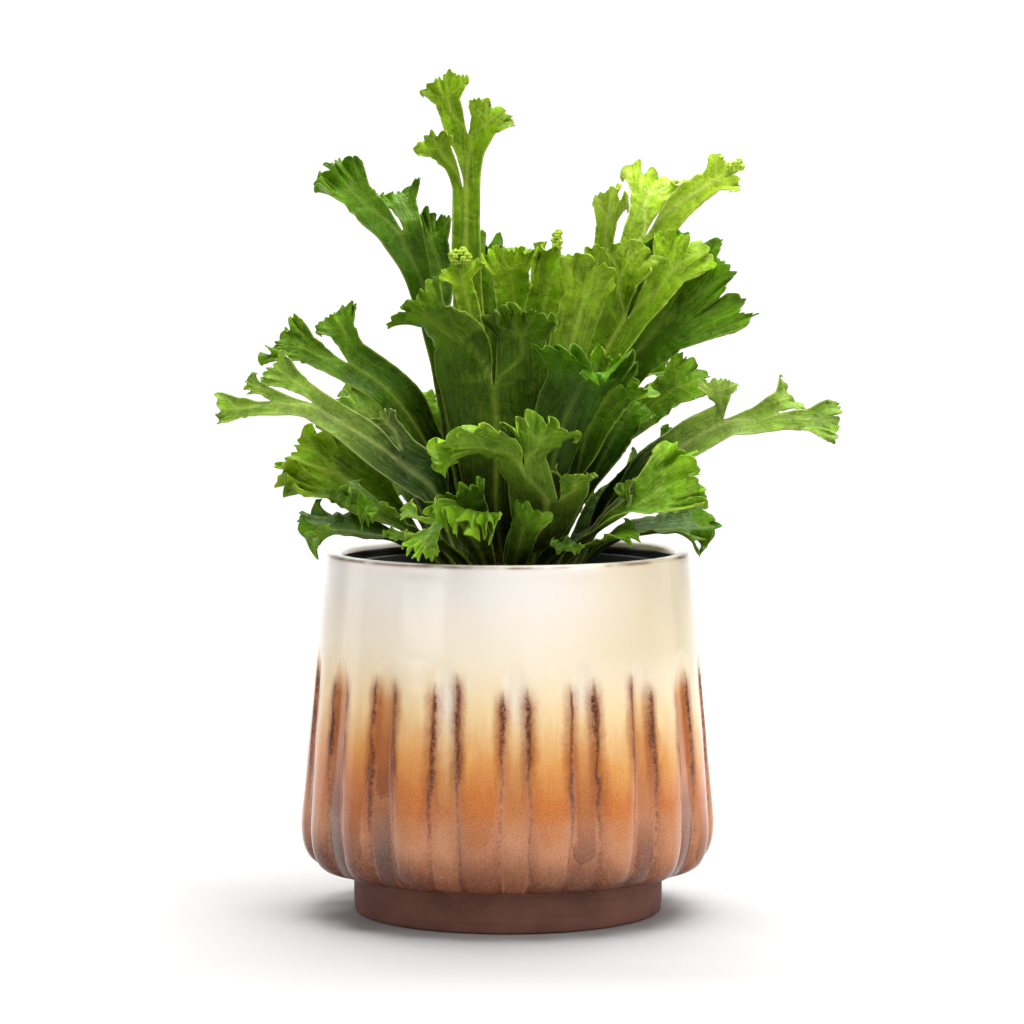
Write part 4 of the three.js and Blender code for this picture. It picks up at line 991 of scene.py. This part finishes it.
def leaf_material(name, group, root_shade, body, tip, pale, under, margin, veins, rough, gloss, root):
    material, n, shader = new_material(name)
    inputs = {"Root Shade": srgb(*root_shade), "Body": srgb(*body), "Tip": srgb(*tip), "Pale": srgb(*pale),
              "Under": under, "Margin": margin, "Veins": veins, "Root": root}
    tissue = n.add("ShaderNodeGroup", inputs, node_tree=group)
    n.put(shader.inputs["Base Color"], tissue.outputs["Color"])
    n.put(shader.inputs["Roughness"], n.math("MULTIPLY", tissue.outputs["Roughness"], rough))
    n.put(shader.inputs["Normal"], n.bump(tissue.outputs["Height"], 0.6, 0.0006))
    shader.inputs["Specular IOR Level"].default_value = gloss
    return material


# Glaze

def glaze_marks(n):
    """What the glaze reads: its noises, the height in millimetres and the marks on the planter's mesh."""
    place = n.object_place()
    return SimpleNamespace(
        wobble=n.noise(n.object_place((1.0, 1.0, 0.3)), 260.0, 2.0),
        cloud=n.noise(n.object_place((1.0, 1.0, 0.6)), 70.0, 3.0),
        thread=n.noise(n.object_place((1.0, 1.0, 0.05)), 900.0, 2.0),
        grit=n.noise(place, 1700.0, 2.0, 0.8),
        froth=n.noise(place, 520.0, 3.0, 0.7, 0.8),
        lip_patch=n.noise(place, 60.0, 2.0),
        right=n.place_along(0), height=n.place_along(2) * (1 / MM),
        seam=n.read("seam"), drip=n.read("drip"), rise=n.read("drip_rise"), fill=n.read("fill"),
        line_top=n.read("line_top"), line_low=n.read("line_low"),
        lip=n.read("lip_line"), inside=n.read("inside"))


def glaze_ground(n, m):
    """Cream above, running through yellow and orange tan to brown, which starts higher in the flutes. A pale
    band low on the belly is a painted reflection of the floor.
    """
    sway = m.wobble * 4.0 + m.cloud * 12.0 + m.thread * 7.0 + m.right * (GLAZE_LEAN / MM)
    share = (m.height + (sway - GLAZE_SHIFT)) / PLANTER_HEIGHT
    in_flute = n.step(m.seam, 0.5, -1.4) * n.step(m.height, 99.0, 84.0, 0.2, 1.0)
    flute_share = share - m.fill / PLANTER_HEIGHT
    color = n.mix(in_flute, n.ramp(share, PANEL_COLORS), n.ramp(flute_share, FLUTE_COLORS))
    yellow = n.step(m.right, 5 * MM, 55 * MM) * n.step(m.height, 84.0, 104.0)
    color = n.mix(yellow * 0.75, color, srgb(230, 211, 170))
    # Painted reflection of the white floor: a pale band low on the belly, from 24 to 46 mm up
    painted_floor_reflection = n.step(m.height, 46.0, 41.0) * n.step(m.height, 24.0, 37.0)
    return n.mix(painted_floor_reflection * 0.16, color, srgb(210, 168, 142))


def glaze_drips(n, m, color):
    """Darker tongues that run down and end in a rounded drop with a dark rim."""
    drip = m.drip + (m.wobble - 0.5) * 3.0
    tongue = n.step(drip, 0.5, -1.2) * n.step(m.rise, 34.0, 4.0)
    color = n.mix(tongue * 0.5, color, srgb(152, 72, 22))
    drop = n.step(drip, 0.2, -0.8) * n.step(m.rise, 12.0, 2.0)
    color = n.mix(drop * 0.4, color, srgb(112, 50, 22))
    rim = n.step(abs(drip), 0.6, 0.1) * n.step(m.rise, 5.0, 1.0)
    return n.mix(rim * 0.55, color, srgb(78, 36, 22)), drop


def glaze_lines(n, m, color):
    """Dark bubbly lines along the flutes' edges with a brown halo, and a light ridge beside them."""
    across = m.seam + ((m.wobble - 0.5) * 3.4 + (m.froth - 0.5) * 2.2) - 0.3
    off_line = abs(across)
    top_end = n.step(m.height, m.line_top, m.line_top - 10.0)
    span = top_end * n.step(m.height, m.line_low - 10.0, m.line_low + 10.0)
    long_span = top_end * n.step(m.height, 14.0, 26.0)
    halo = n.step(off_line, 4.6, 0.2) * (span * 0.6 + long_span * 0.2)
    color = n.mix(halo, color, srgb(166, 80, 26))
    thick = n.step(m.cloud, 0.35, 0.7, 0.0, 0.6) * span
    line = n.step(off_line - thick, 1.1, -0.4) * span * n.step(m.froth, 0.38, 0.54, 0.6, 1.0)
    color = n.mix(line * 0.9, color, srgb(84, 28, 4))
    beads = n.step(off_line, 0.9, 0.1) * n.step(m.froth, 0.45, 0.56)
    color = n.mix(beads * long_span * 0.5, color, srgb(84, 40, 20))
    low_patch = n.step(m.height, 50.0, 38.0) * n.step(m.cloud, 0.4, 0.6)
    ridge = n.step(abs(across + 1.6), 0.6, 0.1) * low_patch
    return n.mix(ridge * 0.4, color, srgb(216, 134, 66)), line


def glaze_specks(n, m, color):
    low = n.step(m.height, 92.0, 38.0)
    color = n.mix(n.step(m.grit, 0.5, 0.7) * low * 0.26, color, srgb(226, 170, 112))
    return n.mix(n.step(m.grit, 0.5, 0.32) * low * 0.3, color, srgb(84, 42, 20))


def glaze_material():
    material, n, shader = new_material("running_glaze")
    m = glaze_marks(n)
    color, drop = glaze_drips(n, m, glaze_ground(n, m))
    color, line = glaze_lines(n, m, color)
    color = glaze_specks(n, m, color)
    lip = m.lip * n.step(m.lip_patch, 0.35, 0.6, 0.2, 1.0)
    color = n.mix(lip * 0.85, color, srgb(130, 84, 44))
    # Painted shade: the inner wall below the lip is painted nearly black, for the shade inside the planter's
    # mouth
    color = n.mix(m.inside, color, srgb(34, 24, 17))
    n.put(shader.inputs["Base Color"], color)
    n.put(shader.inputs["Roughness"], n.step(m.grit, 0.3, 0.8, 0.14, 0.24))
    relief = m.cloud * 1.2 + m.froth * line * 0.7 + drop * 0.35
    n.put(shader.inputs["Normal"], n.bump(relief, 0.35, 0.0007))
    shader.inputs["Coat Weight"].default_value = 0.35
    shader.inputs["Coat Roughness"].default_value = 0.05
    return material


# Clay, plastic and soil

def clay_material():
    material, n, shader = new_material("bare_clay")
    place = n.object_place()
    cloud, grit = n.noise(place, 60.0, 4.0), n.noise(place, 1100.0, 3.0, 0.7)
    ring = n.noise(n.object_place((0.05, 0.05, 1.0)), 500.0, 2.0)
    color = n.mix(n.step(cloud, 0.3, 0.7), srgb(110, 70, 57), srgb(130, 84, 68))
    color = n.mix(n.step(grit, 0.55, 0.8) * 0.3, color, srgb(150, 106, 88))
    color = n.mix(n.step(ring, 0.5, 0.7) * 0.2, color, srgb(80, 50, 42))
    n.put(shader.inputs["Base Color"], color)
    shader.inputs["Roughness"].default_value = 0.8
    n.put(shader.inputs["Normal"], n.bump(grit + ring, 0.35, 0.0004))
    return material


def plastic_material():
    material, n, shader = new_material("black_pot_plastic")
    place = n.object_place()
    dust = n.step(n.noise(place, 45.0, 4.0), 0.45, 0.75)
    n.put(shader.inputs["Base Color"], n.mix(dust * 0.12, srgb(10, 10, 11), srgb(58, 52, 46)))
    n.put(shader.inputs["Roughness"], n.step(dust, 0.0, 1.0, 0.42, 0.6))
    n.put(shader.inputs["Normal"], n.bump(n.noise(place, 1400.0, 2.0), 0.12, 0.0002))
    return material


def earth_material(name, dark, light, scale, strength):
    """Soil, bark crumbs or rhizome scales: two browns in patches, with paler crumbs in relief."""
    material, n, shader = new_material(name)
    place = n.object_place()
    patch, crumb = n.noise(place, scale, 4.0), n.noise(place, scale * 9, 4.0, 0.7)
    paler = [channel + 26 for channel in light]
    color = n.mix(n.step(patch, 0.35, 0.65), srgb(*dark), srgb(*light))
    color = n.mix(n.step(crumb, 0.5, 0.8) * 0.5, color, srgb(*paler))
    n.put(shader.inputs["Base Color"], color)
    shader.inputs["Roughness"].default_value = 0.9
    n.put(shader.inputs["Normal"], n.bump(crumb, strength, 0.001))
    return material


# Turned surfaces

def profile_curve(points, step):
    """A smooth profile through radius and height points, with a point about every step."""
    points = np.array(points, float)
    made = [points[0]]
    for i in range(len(points) - 1):
        a, b = points[i], points[i + 1]
        before, after = points[max(0, i - 1)], points[min(len(points) - 1, i + 2)]
        length = np.linalg.norm(b - a)
        count = max(1, round(length / step))
        slope_a = (b - before) / (length + np.linalg.norm(a - before)) * length
        slope_b = (after - a) / (length + np.linalg.norm(after - b)) * length
        for k in range(1, count + 1):
            t = k / count
            made.append(a + (b - a) * smooth(t) + bend_between(t, slope_a, slope_b))
    return made


def rounded(points):
    """A polyline whose corners are cut round in three passes."""
    points = np.array(points, float)
    for _ in range(3):
        low, high = points[:-1] * 0.75 + points[1:] * 0.25, points[:-1] * 0.25 + points[1:] * 0.75
        points = np.concatenate([points[:1], np.stack([low, high], 1).reshape(-1, 2), points[-1:]])
    return list(points)


def even_turn(columns):
    return np.arange(columns) * 2 * np.pi / columns


def ring_points(radius, angle, height):
    """A ring of points; the radius and the height are numbers or one for each angle."""
    return np.stack([radius * np.cos(angle), radius * np.sin(angle), height + 0 * angle], 1)


def ring_faces(rings, columns):
    """Triangles between each ring of points and the next."""
    column = np.arange(columns)
    following = (column + 1) % columns
    faces = []
    for k in range(rings - 1):
        low, high = k * columns, (k + 1) * columns
        faces.append(np.stack([low + column, low + following, high + following], 1))
        faces.append(np.stack([low + column, high + following, high + column], 1))
    return np.concatenate(faces)


def closed_faces(rings, columns):
    """Triangles between the rings and, at both ends, to two points on the axis that follow them."""
    column = np.arange(columns)
    following = (column + 1) % columns
    start, end = np.full(columns, rings * columns), np.full(columns, rings * columns + 1)
    last = (rings - 1) * columns
    return np.concatenate([
        ring_faces(rings, columns), np.stack([start, following, column], 1),
        np.stack([end, last + column, last + following], 1)])


def turned(name, profile, columns, material, rough=0.0, seed=0):
    """A solid of revolution from the axis and back to it, its heights a little uneven if rough."""
    angle = even_turn(columns)
    rings = [
        ring_points(radius, angle, height + rough * (wander(angle * 5 + k * 3.1, seed + k) - 0.5))
        for k, (radius, height) in enumerate(profile[1:-1])]
    ends = [[0, 0, profile[0][1]], [0, 0, profile[-1][1]]]
    return make_mesh(name, [material], np.concatenate(rings + [ends]), closed_faces(len(rings), columns))


def open_disc(profile, columns=48):
    """An open surface of revolution for things to be scattered on."""
    angle = even_turn(columns)
    points = np.concatenate([ring_points(radius, angle, height) for radius, height in profile])
    return make_mesh("bed", [], points, ring_faces(len(profile), columns))


# Planter

def planter_profile():
    """Radii and heights, up the outside and down the inside, and the wall's first row and its end."""
    foot = rounded([[0, 0], [FOOT_RADIUS - 1.2, 0], [FOOT_RADIUS, 1.0], [FOOT_RADIUS, FOOT_HEIGHT]])
    foot = [[0, 0]] + [point for point in foot if point[0] > FOOT_RADIUS - 8]
    outside = profile_curve([
        [60.5, 14.8], [66.0, 16], [70.2, 17.9], [73.4, 21.6], [75.2, 27], [BELLY_RADIUS, BELLY_HEIGHT],
        [74.6, 55], [72.6, 77], [71.4, 91], [70.65, FLUTE_TOP], [69.2, 114], [67.7, 127],
        [RIM_RADIUS, LIP_HEIGHT]], 1.05)
    inner = RIM_RADIUS - LIP_WIDTH
    lip = rounded([
        [RIM_RADIUS, LIP_HEIGHT], [RIM_RADIUS - 0.3, PLANTER_HEIGHT - 0.7],
        [RIM_RADIUS - 1.4, PLANTER_HEIGHT], [inner + 1.2, PLANTER_HEIGHT - 0.2],
        [inner, PLANTER_HEIGHT - 2.0], [inner, INNER_LIP_HEIGHT]])
    inside = profile_curve([
        [inner, INNER_LIP_HEIGHT], [71.4 - WALL, 91], [74.6 - WALL, 55],
        [BELLY_RADIUS - WALL, BELLY_HEIGHT], [73 - WALL, 24], [FOOT_RADIUS - WALL, 20],
        [FOOT_RADIUS - WALL, BASE_THICKNESS]], 4.0)
    profile = foot + outside + lip[1:] + inside[1:] + [[0, BASE_THICKNESS]]
    apart = [np.hypot(*np.subtract(b, a)) > 1e-6 for a, b in zip(profile, profile[1:])]
    return np.array(profile)[[True] + apart], len(foot), len(foot) + len(outside)


def flute_half(height):
    """A flute's half angle, which narrows to an arch at its top."""
    straight = FLUTE_HALF_ANGLE + FLUTE_WIDENING * (1 - height / FLUTE_TOP)
    arch = math.sqrt(max(0, (FLUTE_TOP - height) / FLUTE_ARCH))
    return straight * min(1, max(FLUTE_NARROWEST, arch))


def flute_depth(height):
    top = min(1, max(0, (FLUTE_TOP - height) / FLUTE_TOP_FADE))
    bottom = min(1, max(FLUTE_BOTTOM_SHARE, (height - FLUTE_BOTTOM) / FLUTE_BOTTOM_FADE))
    return FLUTE_DEPTH * top * bottom


def planter_columns():
    """The flute that each column of points is nearest to, and its angle from that flute's middle."""
    column = np.arange(FLUTE_COUNT * COLUMNS_PER_FLUTE)
    flute = (column + COLUMNS_PER_FLUTE // 2) // COLUMNS_PER_FLUTE % FLUTE_COUNT
    step = (column % COLUMNS_PER_FLUTE) / COLUMNS_PER_FLUTE
    offset = np.where(step >= 0.5, step - 1, step)
    return flute, np.sign(offset) * np.abs(offset * 2) ** COLUMN_POWER / 2 * FLUTE_PITCH


def seam_mark(radius, height, offset):
    """How far each column lies outside the nearest flute's edge."""
    across = radius * np.radians(offset)
    if height > FLUTE_TOP - 1:
        return np.hypot(across, height - FLUTE_TOP + 1)
    return np.abs(across) - radius * math.radians(flute_half(height))


def fluted_ring(radius, height, offset, seam):
    """Radii of the wall at one height: flutes pressed in, panels that swell, and grooves low down."""
    half, depth = flute_half(height), flute_depth(height)
    scoop = 1 - ramp(np.abs(offset) / half, 0.5, 1.12)
    swell = PANEL_PILLOW + LOW_PILLOW * ramp(height, 50, 22)
    pillow = swell * ramp(np.abs(offset), half, FLUTE_PITCH / 2)
    notch = LOW_GROOVE * ramp(height, 70, 22) * np.exp(-(seam / GROOVE_BREADTH) ** 2)
    return radius - depth * scoop + pillow * min(1, depth / FLUTE_DEPTH) - notch


def drip_marks(radius, turn, height):
    """How far each column is outside the nearest drip, and how far above that drip's end."""
    outside, rise = np.full(len(turn), FAR_OFF), np.full(len(turn), FAR_ABOVE)
    for place, half_width, end in DRIPS:
        apart = (turn - place * FLUTE_PITCH + 180) % 360 - 180
        reach = np.hypot(radius * np.radians(apart), min(0, height - end)) - half_width
        rise = np.where(reach < outside, height - end, rise)
        outside = np.minimum(outside, reach)
    return outside, rise


def lip_mark(height):
    return math.exp(-((height - PLANTER_HEIGHT + LIP_LINE_DEPTH) / LIP_LINE_BREADTH) ** 2)


def on_foot(points, faces):
    """Which faces are bare clay: the foot's wall and its underside."""
    corners = points[faces]
    height = corners[:, :, 2].mean(1)
    from_axis = np.hypot(corners[:, :, 0], corners[:, :, 1]).mean(1)
    return (height < FOOT_HEIGHT + 0.6) & (from_axis > FOOT_RADIUS - WALL + 1) | (height < 1)


def planter_mesh(glaze, clay):
    """The whole planter: rings of points with marks for the glaze, and bare clay below."""
    profile, wall_start, wall_end = planter_profile()
    flute, offset = planter_columns()
    turn = flute * FLUTE_PITCH + offset
    edge = 2 * flute + (offset > 0)
    points, marks = [], []
    for k, (radius, height) in enumerate(profile[1:-1], 1):
        outer = wall_start <= k < wall_end
        seam = seam_mark(radius, height, offset)
        fluted = outer and height <= FLUTE_TOP
        ring = fluted_ring(radius, height, offset, seam) if fluted else radius
        points.append(ring_points(ring, np.radians(FIRST_FLUTE + turn), height))
        drip, rise = drip_marks(radius, turn, height)
        marks.append({
            "seam": seam if outer else FAR_OFF, "drip": drip, "drip_rise": rise,
            "fill": np.array(FLUTE_FILL, float)[flute],
            "line_top": LINE_TOP + LINE_TOP_VARIETY * scramble(edge, 1),
            "line_low": LINE_LOW + LINE_LOW_VARIETY * scramble(edge, 2),
            "lip_line": lip_mark(height) if outer or radius > RIM_RADIUS - 1.5 else 0.0,
            # Marks the inner wall below the lip, which the glaze paints nearly black as painted shade
            "inside": float(k >= wall_end and radius < RIM_RADIUS - LIP_WIDTH + 0.1)})
    points = np.concatenate(points + [[[0, 0, 0], [0, 0, BASE_THICKNESS]]])
    columns = len(flute)
    joined = {
        key: np.concatenate([np.broadcast_to(ring[key], columns) for ring in marks] + [[FAR_OFF, FAR_OFF]])
        for key in marks[0]}
    faces = closed_faces(len(marks), columns)
    mesh = make_mesh("planter_glazed", [glaze, clay], points, faces, joined)
    mesh.polygons.foreach_set("material_index", on_foot(points, faces).astype(np.int32))
    return mesh


# Nursery pot, soil and crown

def nursery_mesh(material):
    rim = NURSERY_TOP_RADIUS + NURSERY_RIM_WIDTH
    under_rim = NURSERY_TOP - NURSERY_RIM_HEIGHT
    floor_height = NURSERY_BOTTOM + NURSERY_WALL
    corners = [
        [NURSERY_BOTTOM_RADIUS - 6, NURSERY_BOTTOM], [NURSERY_BOTTOM_RADIUS, NURSERY_BOTTOM],
        [NURSERY_TOP_RADIUS, under_rim - 1], [rim, under_rim], [rim, NURSERY_TOP],
        [NURSERY_TOP_RADIUS - NURSERY_WALL, NURSERY_TOP],
        [NURSERY_BOTTOM_RADIUS - NURSERY_WALL, floor_height], [NURSERY_BOTTOM_RADIUS - 8, floor_height]]
    dense = [[0, NURSERY_BOTTOM]]
    for a, b in zip(corners, corners[1:]):
        a, b = np.array(a, float), np.array(b, float)
        near = min(0.25, 0.4 / np.linalg.norm(b - a))
        dense += [list(a + (b - a) * share) for share in (near, 1 - near)]
    dense.append([0, floor_height])
    return turned("nursery_pot_black", dense, 96, material)


def soil_profile():
    """The soil's outline, from its flat bottom up the pot's wall and in over its uneven top."""
    bottom = NURSERY_BOTTOM + NURSERY_WALL + FIT_GAP
    slope = (NURSERY_TOP_RADIUS - NURSERY_BOTTOM_RADIUS) / (NURSERY_TOP - NURSERY_BOTTOM)

    def radius_at(height):
        return NURSERY_BOTTOM_RADIUS + slope * (height - NURSERY_BOTTOM) - NURSERY_WALL - SOIL_CLEARANCE

    low = [[0, bottom], [radius_at(bottom), bottom], [radius_at(SOIL_HEIGHT - 3), SOIL_HEIGHT - 3]]
    top = [[radius, SOIL_HEIGHT - SOIL_DIP + SOIL_RELIEF * math.sin(radius)]
           for radius in np.linspace(56, 28.6, 14)]
    bed = SOIL_HEIGHT - CROWN_DEPTH - FIT_GAP
    return low + top + [[CROWN_RADIUS - 1.7, bed], [0, bed]]


def crown_profile():
    low = [[0, SOIL_HEIGHT - CROWN_DEPTH], [CROWN_RADIUS - 2, SOIL_HEIGHT - CROWN_DEPTH]]
    dome = [[radius, dome_height(radius)] for radius in np.linspace(CROWN_RADIUS, 1.5, 14)]
    return low + dome + [[0, dome_height(0)]]


# Crumbs and scales scattered over a surface

def scatter_tree(name):
    """Geometry Nodes that scatter small lumps over a surface, each turned and sized at random."""
    tree = bpy.data.node_groups.new(name, "GeometryNodeTree")
    sockets = [("Surface", "NodeSocketGeometry", None), ("Density", "NodeSocketFloat", 1e5),
               ("Length", "NodeSocketFloat", 0.002), ("Width", "NodeSocketFloat", 0.001),
               ("Seed", "NodeSocketInt", 1), ("Lean", "NodeSocketFloat", 3.0),
               ("Material", "NodeSocketMaterial", None)]
    for key, kind, value in sockets:
        socket = tree.interface.new_socket(key, in_out="INPUT", socket_type=kind)
        if value is not None:
            socket.default_value = value
    tree.interface.new_socket("Lumps", in_out="OUTPUT", socket_type="NodeSocketGeometry")
    n = Nodes(tree)
    given = n.add("NodeGroupInput").outputs
    points = n.add("GeometryNodeDistributePointsOnFaces", {
        "Mesh": given["Surface"], "Density": given["Density"], "Seed": given["Seed"]})
    lump = n.add("GeometryNodeMeshIcoSphere", {"Radius": 0.5, "Subdivisions": 1})
    size = n.vector(given["Width"], given["Width"], given["Length"])
    wide = n.add("FunctionNodeRandomValue", {2: 0.6, 3: 1.5, "Seed": given["Seed"]}, data_type="FLOAT")
    scale = n.add("ShaderNodeVectorMath", {0: size, "Scale": wide.outputs[1]}, operation="SCALE")
    spin = n.vector(given["Lean"], given["Lean"], FULL_TURN)
    turn = n.add("FunctionNodeRandomValue", {0: (0.0, 0.0, 0.0), 1: spin, "Seed": given["Seed"]},
                 data_type="FLOAT_VECTOR")
    upright = n.add("FunctionNodeRotateEuler", {0: points.outputs["Rotation"], "Rotate By": turn.outputs[0]},
                    rotation_type="EULER", space="LOCAL")
    placed = n.add("GeometryNodeInstanceOnPoints", {
        "Points": points.outputs["Points"], "Instance": lump.outputs["Mesh"],
        "Rotation": upright.outputs[0], "Scale": scale.outputs[0]})
    real = n.add("GeometryNodeRealizeInstances", {0: placed.outputs[0]})
    dressed = n.add("GeometryNodeSetMaterial", {"Geometry": real.outputs[0], "Material": given["Material"]})
    n.put(n.add("NodeGroupOutput").inputs[0], dressed.outputs[0])
    return tree


def scatter(name, tree, surface, **values):
    """The tree's result on a surface, as a plain mesh. A lump's length and width are in metres."""
    carrier = show(name + "_bed", surface)
    modifier = carrier.modifiers.new("scatter", "NODES")
    modifier.node_group = tree
    for key, value in values.items():
        modifier[tree.interface.items_tree[key].identifier] = value
    bpy.context.view_layer.update()
    graph = bpy.context.evaluated_depsgraph_get()
    mesh = bpy.data.meshes.new_from_object(carrier.evaluated_get(graph))
    mesh.name = name
    carrier.modifiers.remove(modifier)
    bpy.data.objects.remove(carrier)
    return mesh


# Everything that shows

def young_knobs(middle, spread, count):
    """Crinkled knobs packed round a point: a young crest that is still curled up."""
    ball = bmesh.new()
    bmesh.ops.create_icosphere(ball, subdivisions=3, radius=1.0)
    shape = np.array([v.co[:] for v in ball.verts])
    triangles = np.array([[v.index for v in face.verts] for face in ball.faces])
    ball.free()
    points, faces, crease = [], [], []
    for i in range(count):
        height = 1 - 2 * (i + 0.5) / count
        ring, turn = math.sqrt(1 - height * height), i * GOLDEN_TURN
        place = np.array([ring * math.cos(turn), ring * math.sin(turn), height]) * KNOB_PACKING
        folds = np.cos(5 * np.arctan2(shape[:, 1], shape[:, 0]) + turn) * (1 - shape[:, 2] ** 2)
        folds = folds + 0.5 * np.cos(7 * shape[:, 2] + 2 * turn)
        size = KNOB_RADIUS * (0.7 + 0.6 * scramble(i, count))
        faces.append(triangles + len(shape) * i)
        points.append(np.array(middle) + place * spread + shape * (size * (1 + KNOB_FOLD * folds))[:, None])
        crease.append(1 - folds)
    crease = np.concatenate(crease)
    marks = {"along": np.ones(len(crease)), "edge": np.maximum(0, crease) * 0.6}
    marks.update({key: np.zeros(len(crease)) for key in ("rib", "under", "flow_u", "flow_v")})
    return np.concatenate(points), np.concatenate(faces), marks


def build_fern():
    group = leaf_group()
    materials = {kind: leaf_material(kind + "_leaf", group, *values) for kind, values in LEAVES.items()}
    for name, middle, spread, count in YOUNG_TIPS:
        knobs = young_knobs(middle, spread, count)
        add_piece(make_mesh(name + "_knobs", [materials["young"]], *knobs), "leaf")
    for limb in FRONDS:
        name = limb["name"]
        kind = next((key for key, names in LEAF_OF.items() if name in names), "old")
        blade = make_mesh(name + "_leaf", [materials[kind]], *grow_frond(limb))
        add_piece(blade, "leaf", "frond_" + name)


def build_pots():
    add_piece(planter_mesh(glaze_material(), clay_material()), "glaze", "planter")
    add_piece(nursery_mesh(plastic_material()), "black_plastic", "nursery_pot")


def build_soil():
    soil = earth_material("potting_mix", (24, 16, 11), (44, 31, 21), 160.0, 0.9)
    bark = earth_material("bark_crumbs", (40, 26, 16), (74, 50, 32), 220.0, 0.7)
    scales = earth_material("rhizome_scales", (46, 30, 16), (86, 60, 32), 260.0, 0.6)
    add_piece(turned("soil_bed", soil_profile(), 96, soil, 1.2, 5), "soil", "soil")
    add_piece(turned("crown_dome", crown_profile(), 72, scales, 0.8, 8), "crown", "crown")
    tree = scatter_tree("scattered_lumps")
    ring = [[55.5, SOIL_HEIGHT - SOIL_DIP], [29, SOIL_HEIGHT - 1.0]]
    add_piece(scatter("soil_crumbs", tree, open_disc(ring), Density=3.2e5, Length=0.0022, Width=0.0016,
                      Seed=4, Material=soil), "soil")
    add_piece(scatter("bark_chips", tree, open_disc(ring), Density=3.5e4, Length=0.0014, Width=0.0042,
                      Seed=9, Lean=0.7, Material=bark), "soil")
    dome = [[radius, dome_height(radius)] for radius in (CROWN_RADIUS - 1, 20, 13, 6, 2)]
    add_piece(scatter("crown_scales", tree, open_disc(dome), Density=3.0e5, Length=0.0052, Width=0.0007,
                      Seed=2, Lean=0.8, Material=scales), "crown")


# Camera, lights and floor

def aim(thing, target):
    """Turns a camera or light towards a point."""
    away = np.array(target) - np.array(thing.location)
    level = math.hypot(away[0], away[1])
    thing.rotation_euler = (math.atan2(level, -away[2]), 0, math.atan2(away[1], away[0]) - math.pi / 2)


def build_camera():
    camera = show("camera", bpy.data.cameras.new("camera"))
    camera.location = CAMERA_PLACE
    aim(camera, CAMERA_TARGET)
    distance = math.dist(CAMERA_PLACE, CAMERA_TARGET)
    camera.data.sensor_width = SENSOR
    camera.data.lens = SENSOR * distance / METRES_PER_PIXEL / PICTURE_WIDTH
    camera.data.clip_start = 0.1
    bpy.context.scene.camera = camera


def build_floor():
    """A white table that bends up into a backdrop behind the object."""
    material, n, shader = new_material("white_paper")
    shade = n.noise(n.object_place(), 3.0)
    n.put(shader.inputs["Base Color"], n.mix(shade, (0.48, 0.48, 0.48, 1), (0.50, 0.50, 0.50, 1)))
    shader.inputs["Roughness"].default_value = 0.7
    shader.inputs["Specular IOR Level"].default_value = 0.2
    radius = FLOOR_BEND_RADIUS
    angles = np.linspace(0.08, math.pi / 2, 16)
    bend = [[FLOOR_BEND + radius * math.sin(angle), radius - radius * math.cos(angle)] for angle in angles]
    profile = [[FLOOR_FRONT, 0], [FLOOR_BEND, 0], *bend, [FLOOR_BEND + radius, FLOOR_TOP]]
    points = [[x, y, z] for y, z in profile for x in (-FLOOR_HALF_WIDTH, FLOOR_HALF_WIDTH)]
    faces = [[2 * k, 2 * k + 1, 2 * k + 3, 2 * k + 2] for k in range(len(profile) - 1)]
    floor = show("floor", make_mesh("floor", [material], points, faces))


def build_lights():
    for name, (place, target, size, power) in LIGHTS.items():
        lamp = bpy.data.lights.new(name, "AREA")
        lamp.shape = "RECTANGLE"
        lamp.size, lamp.size_y = size
        lamp.energy = power
        holder = show(name, lamp)
        holder.location = place
        aim(holder, target)
    world = bpy.data.worlds.new("studio")
    bpy.context.scene.world = world
    world.use_nodes = True
    world.node_tree.nodes["Background"].inputs["Color"].default_value = (1, 1, 1, 1)
    world.node_tree.nodes["Background"].inputs["Strength"].default_value = SURROUND_STRENGTH
    bpy.context.scene.view_settings.view_transform = "Standard"


build_camera()
build_floor()
build_lights()
build_pots()
build_soil()
build_fern()
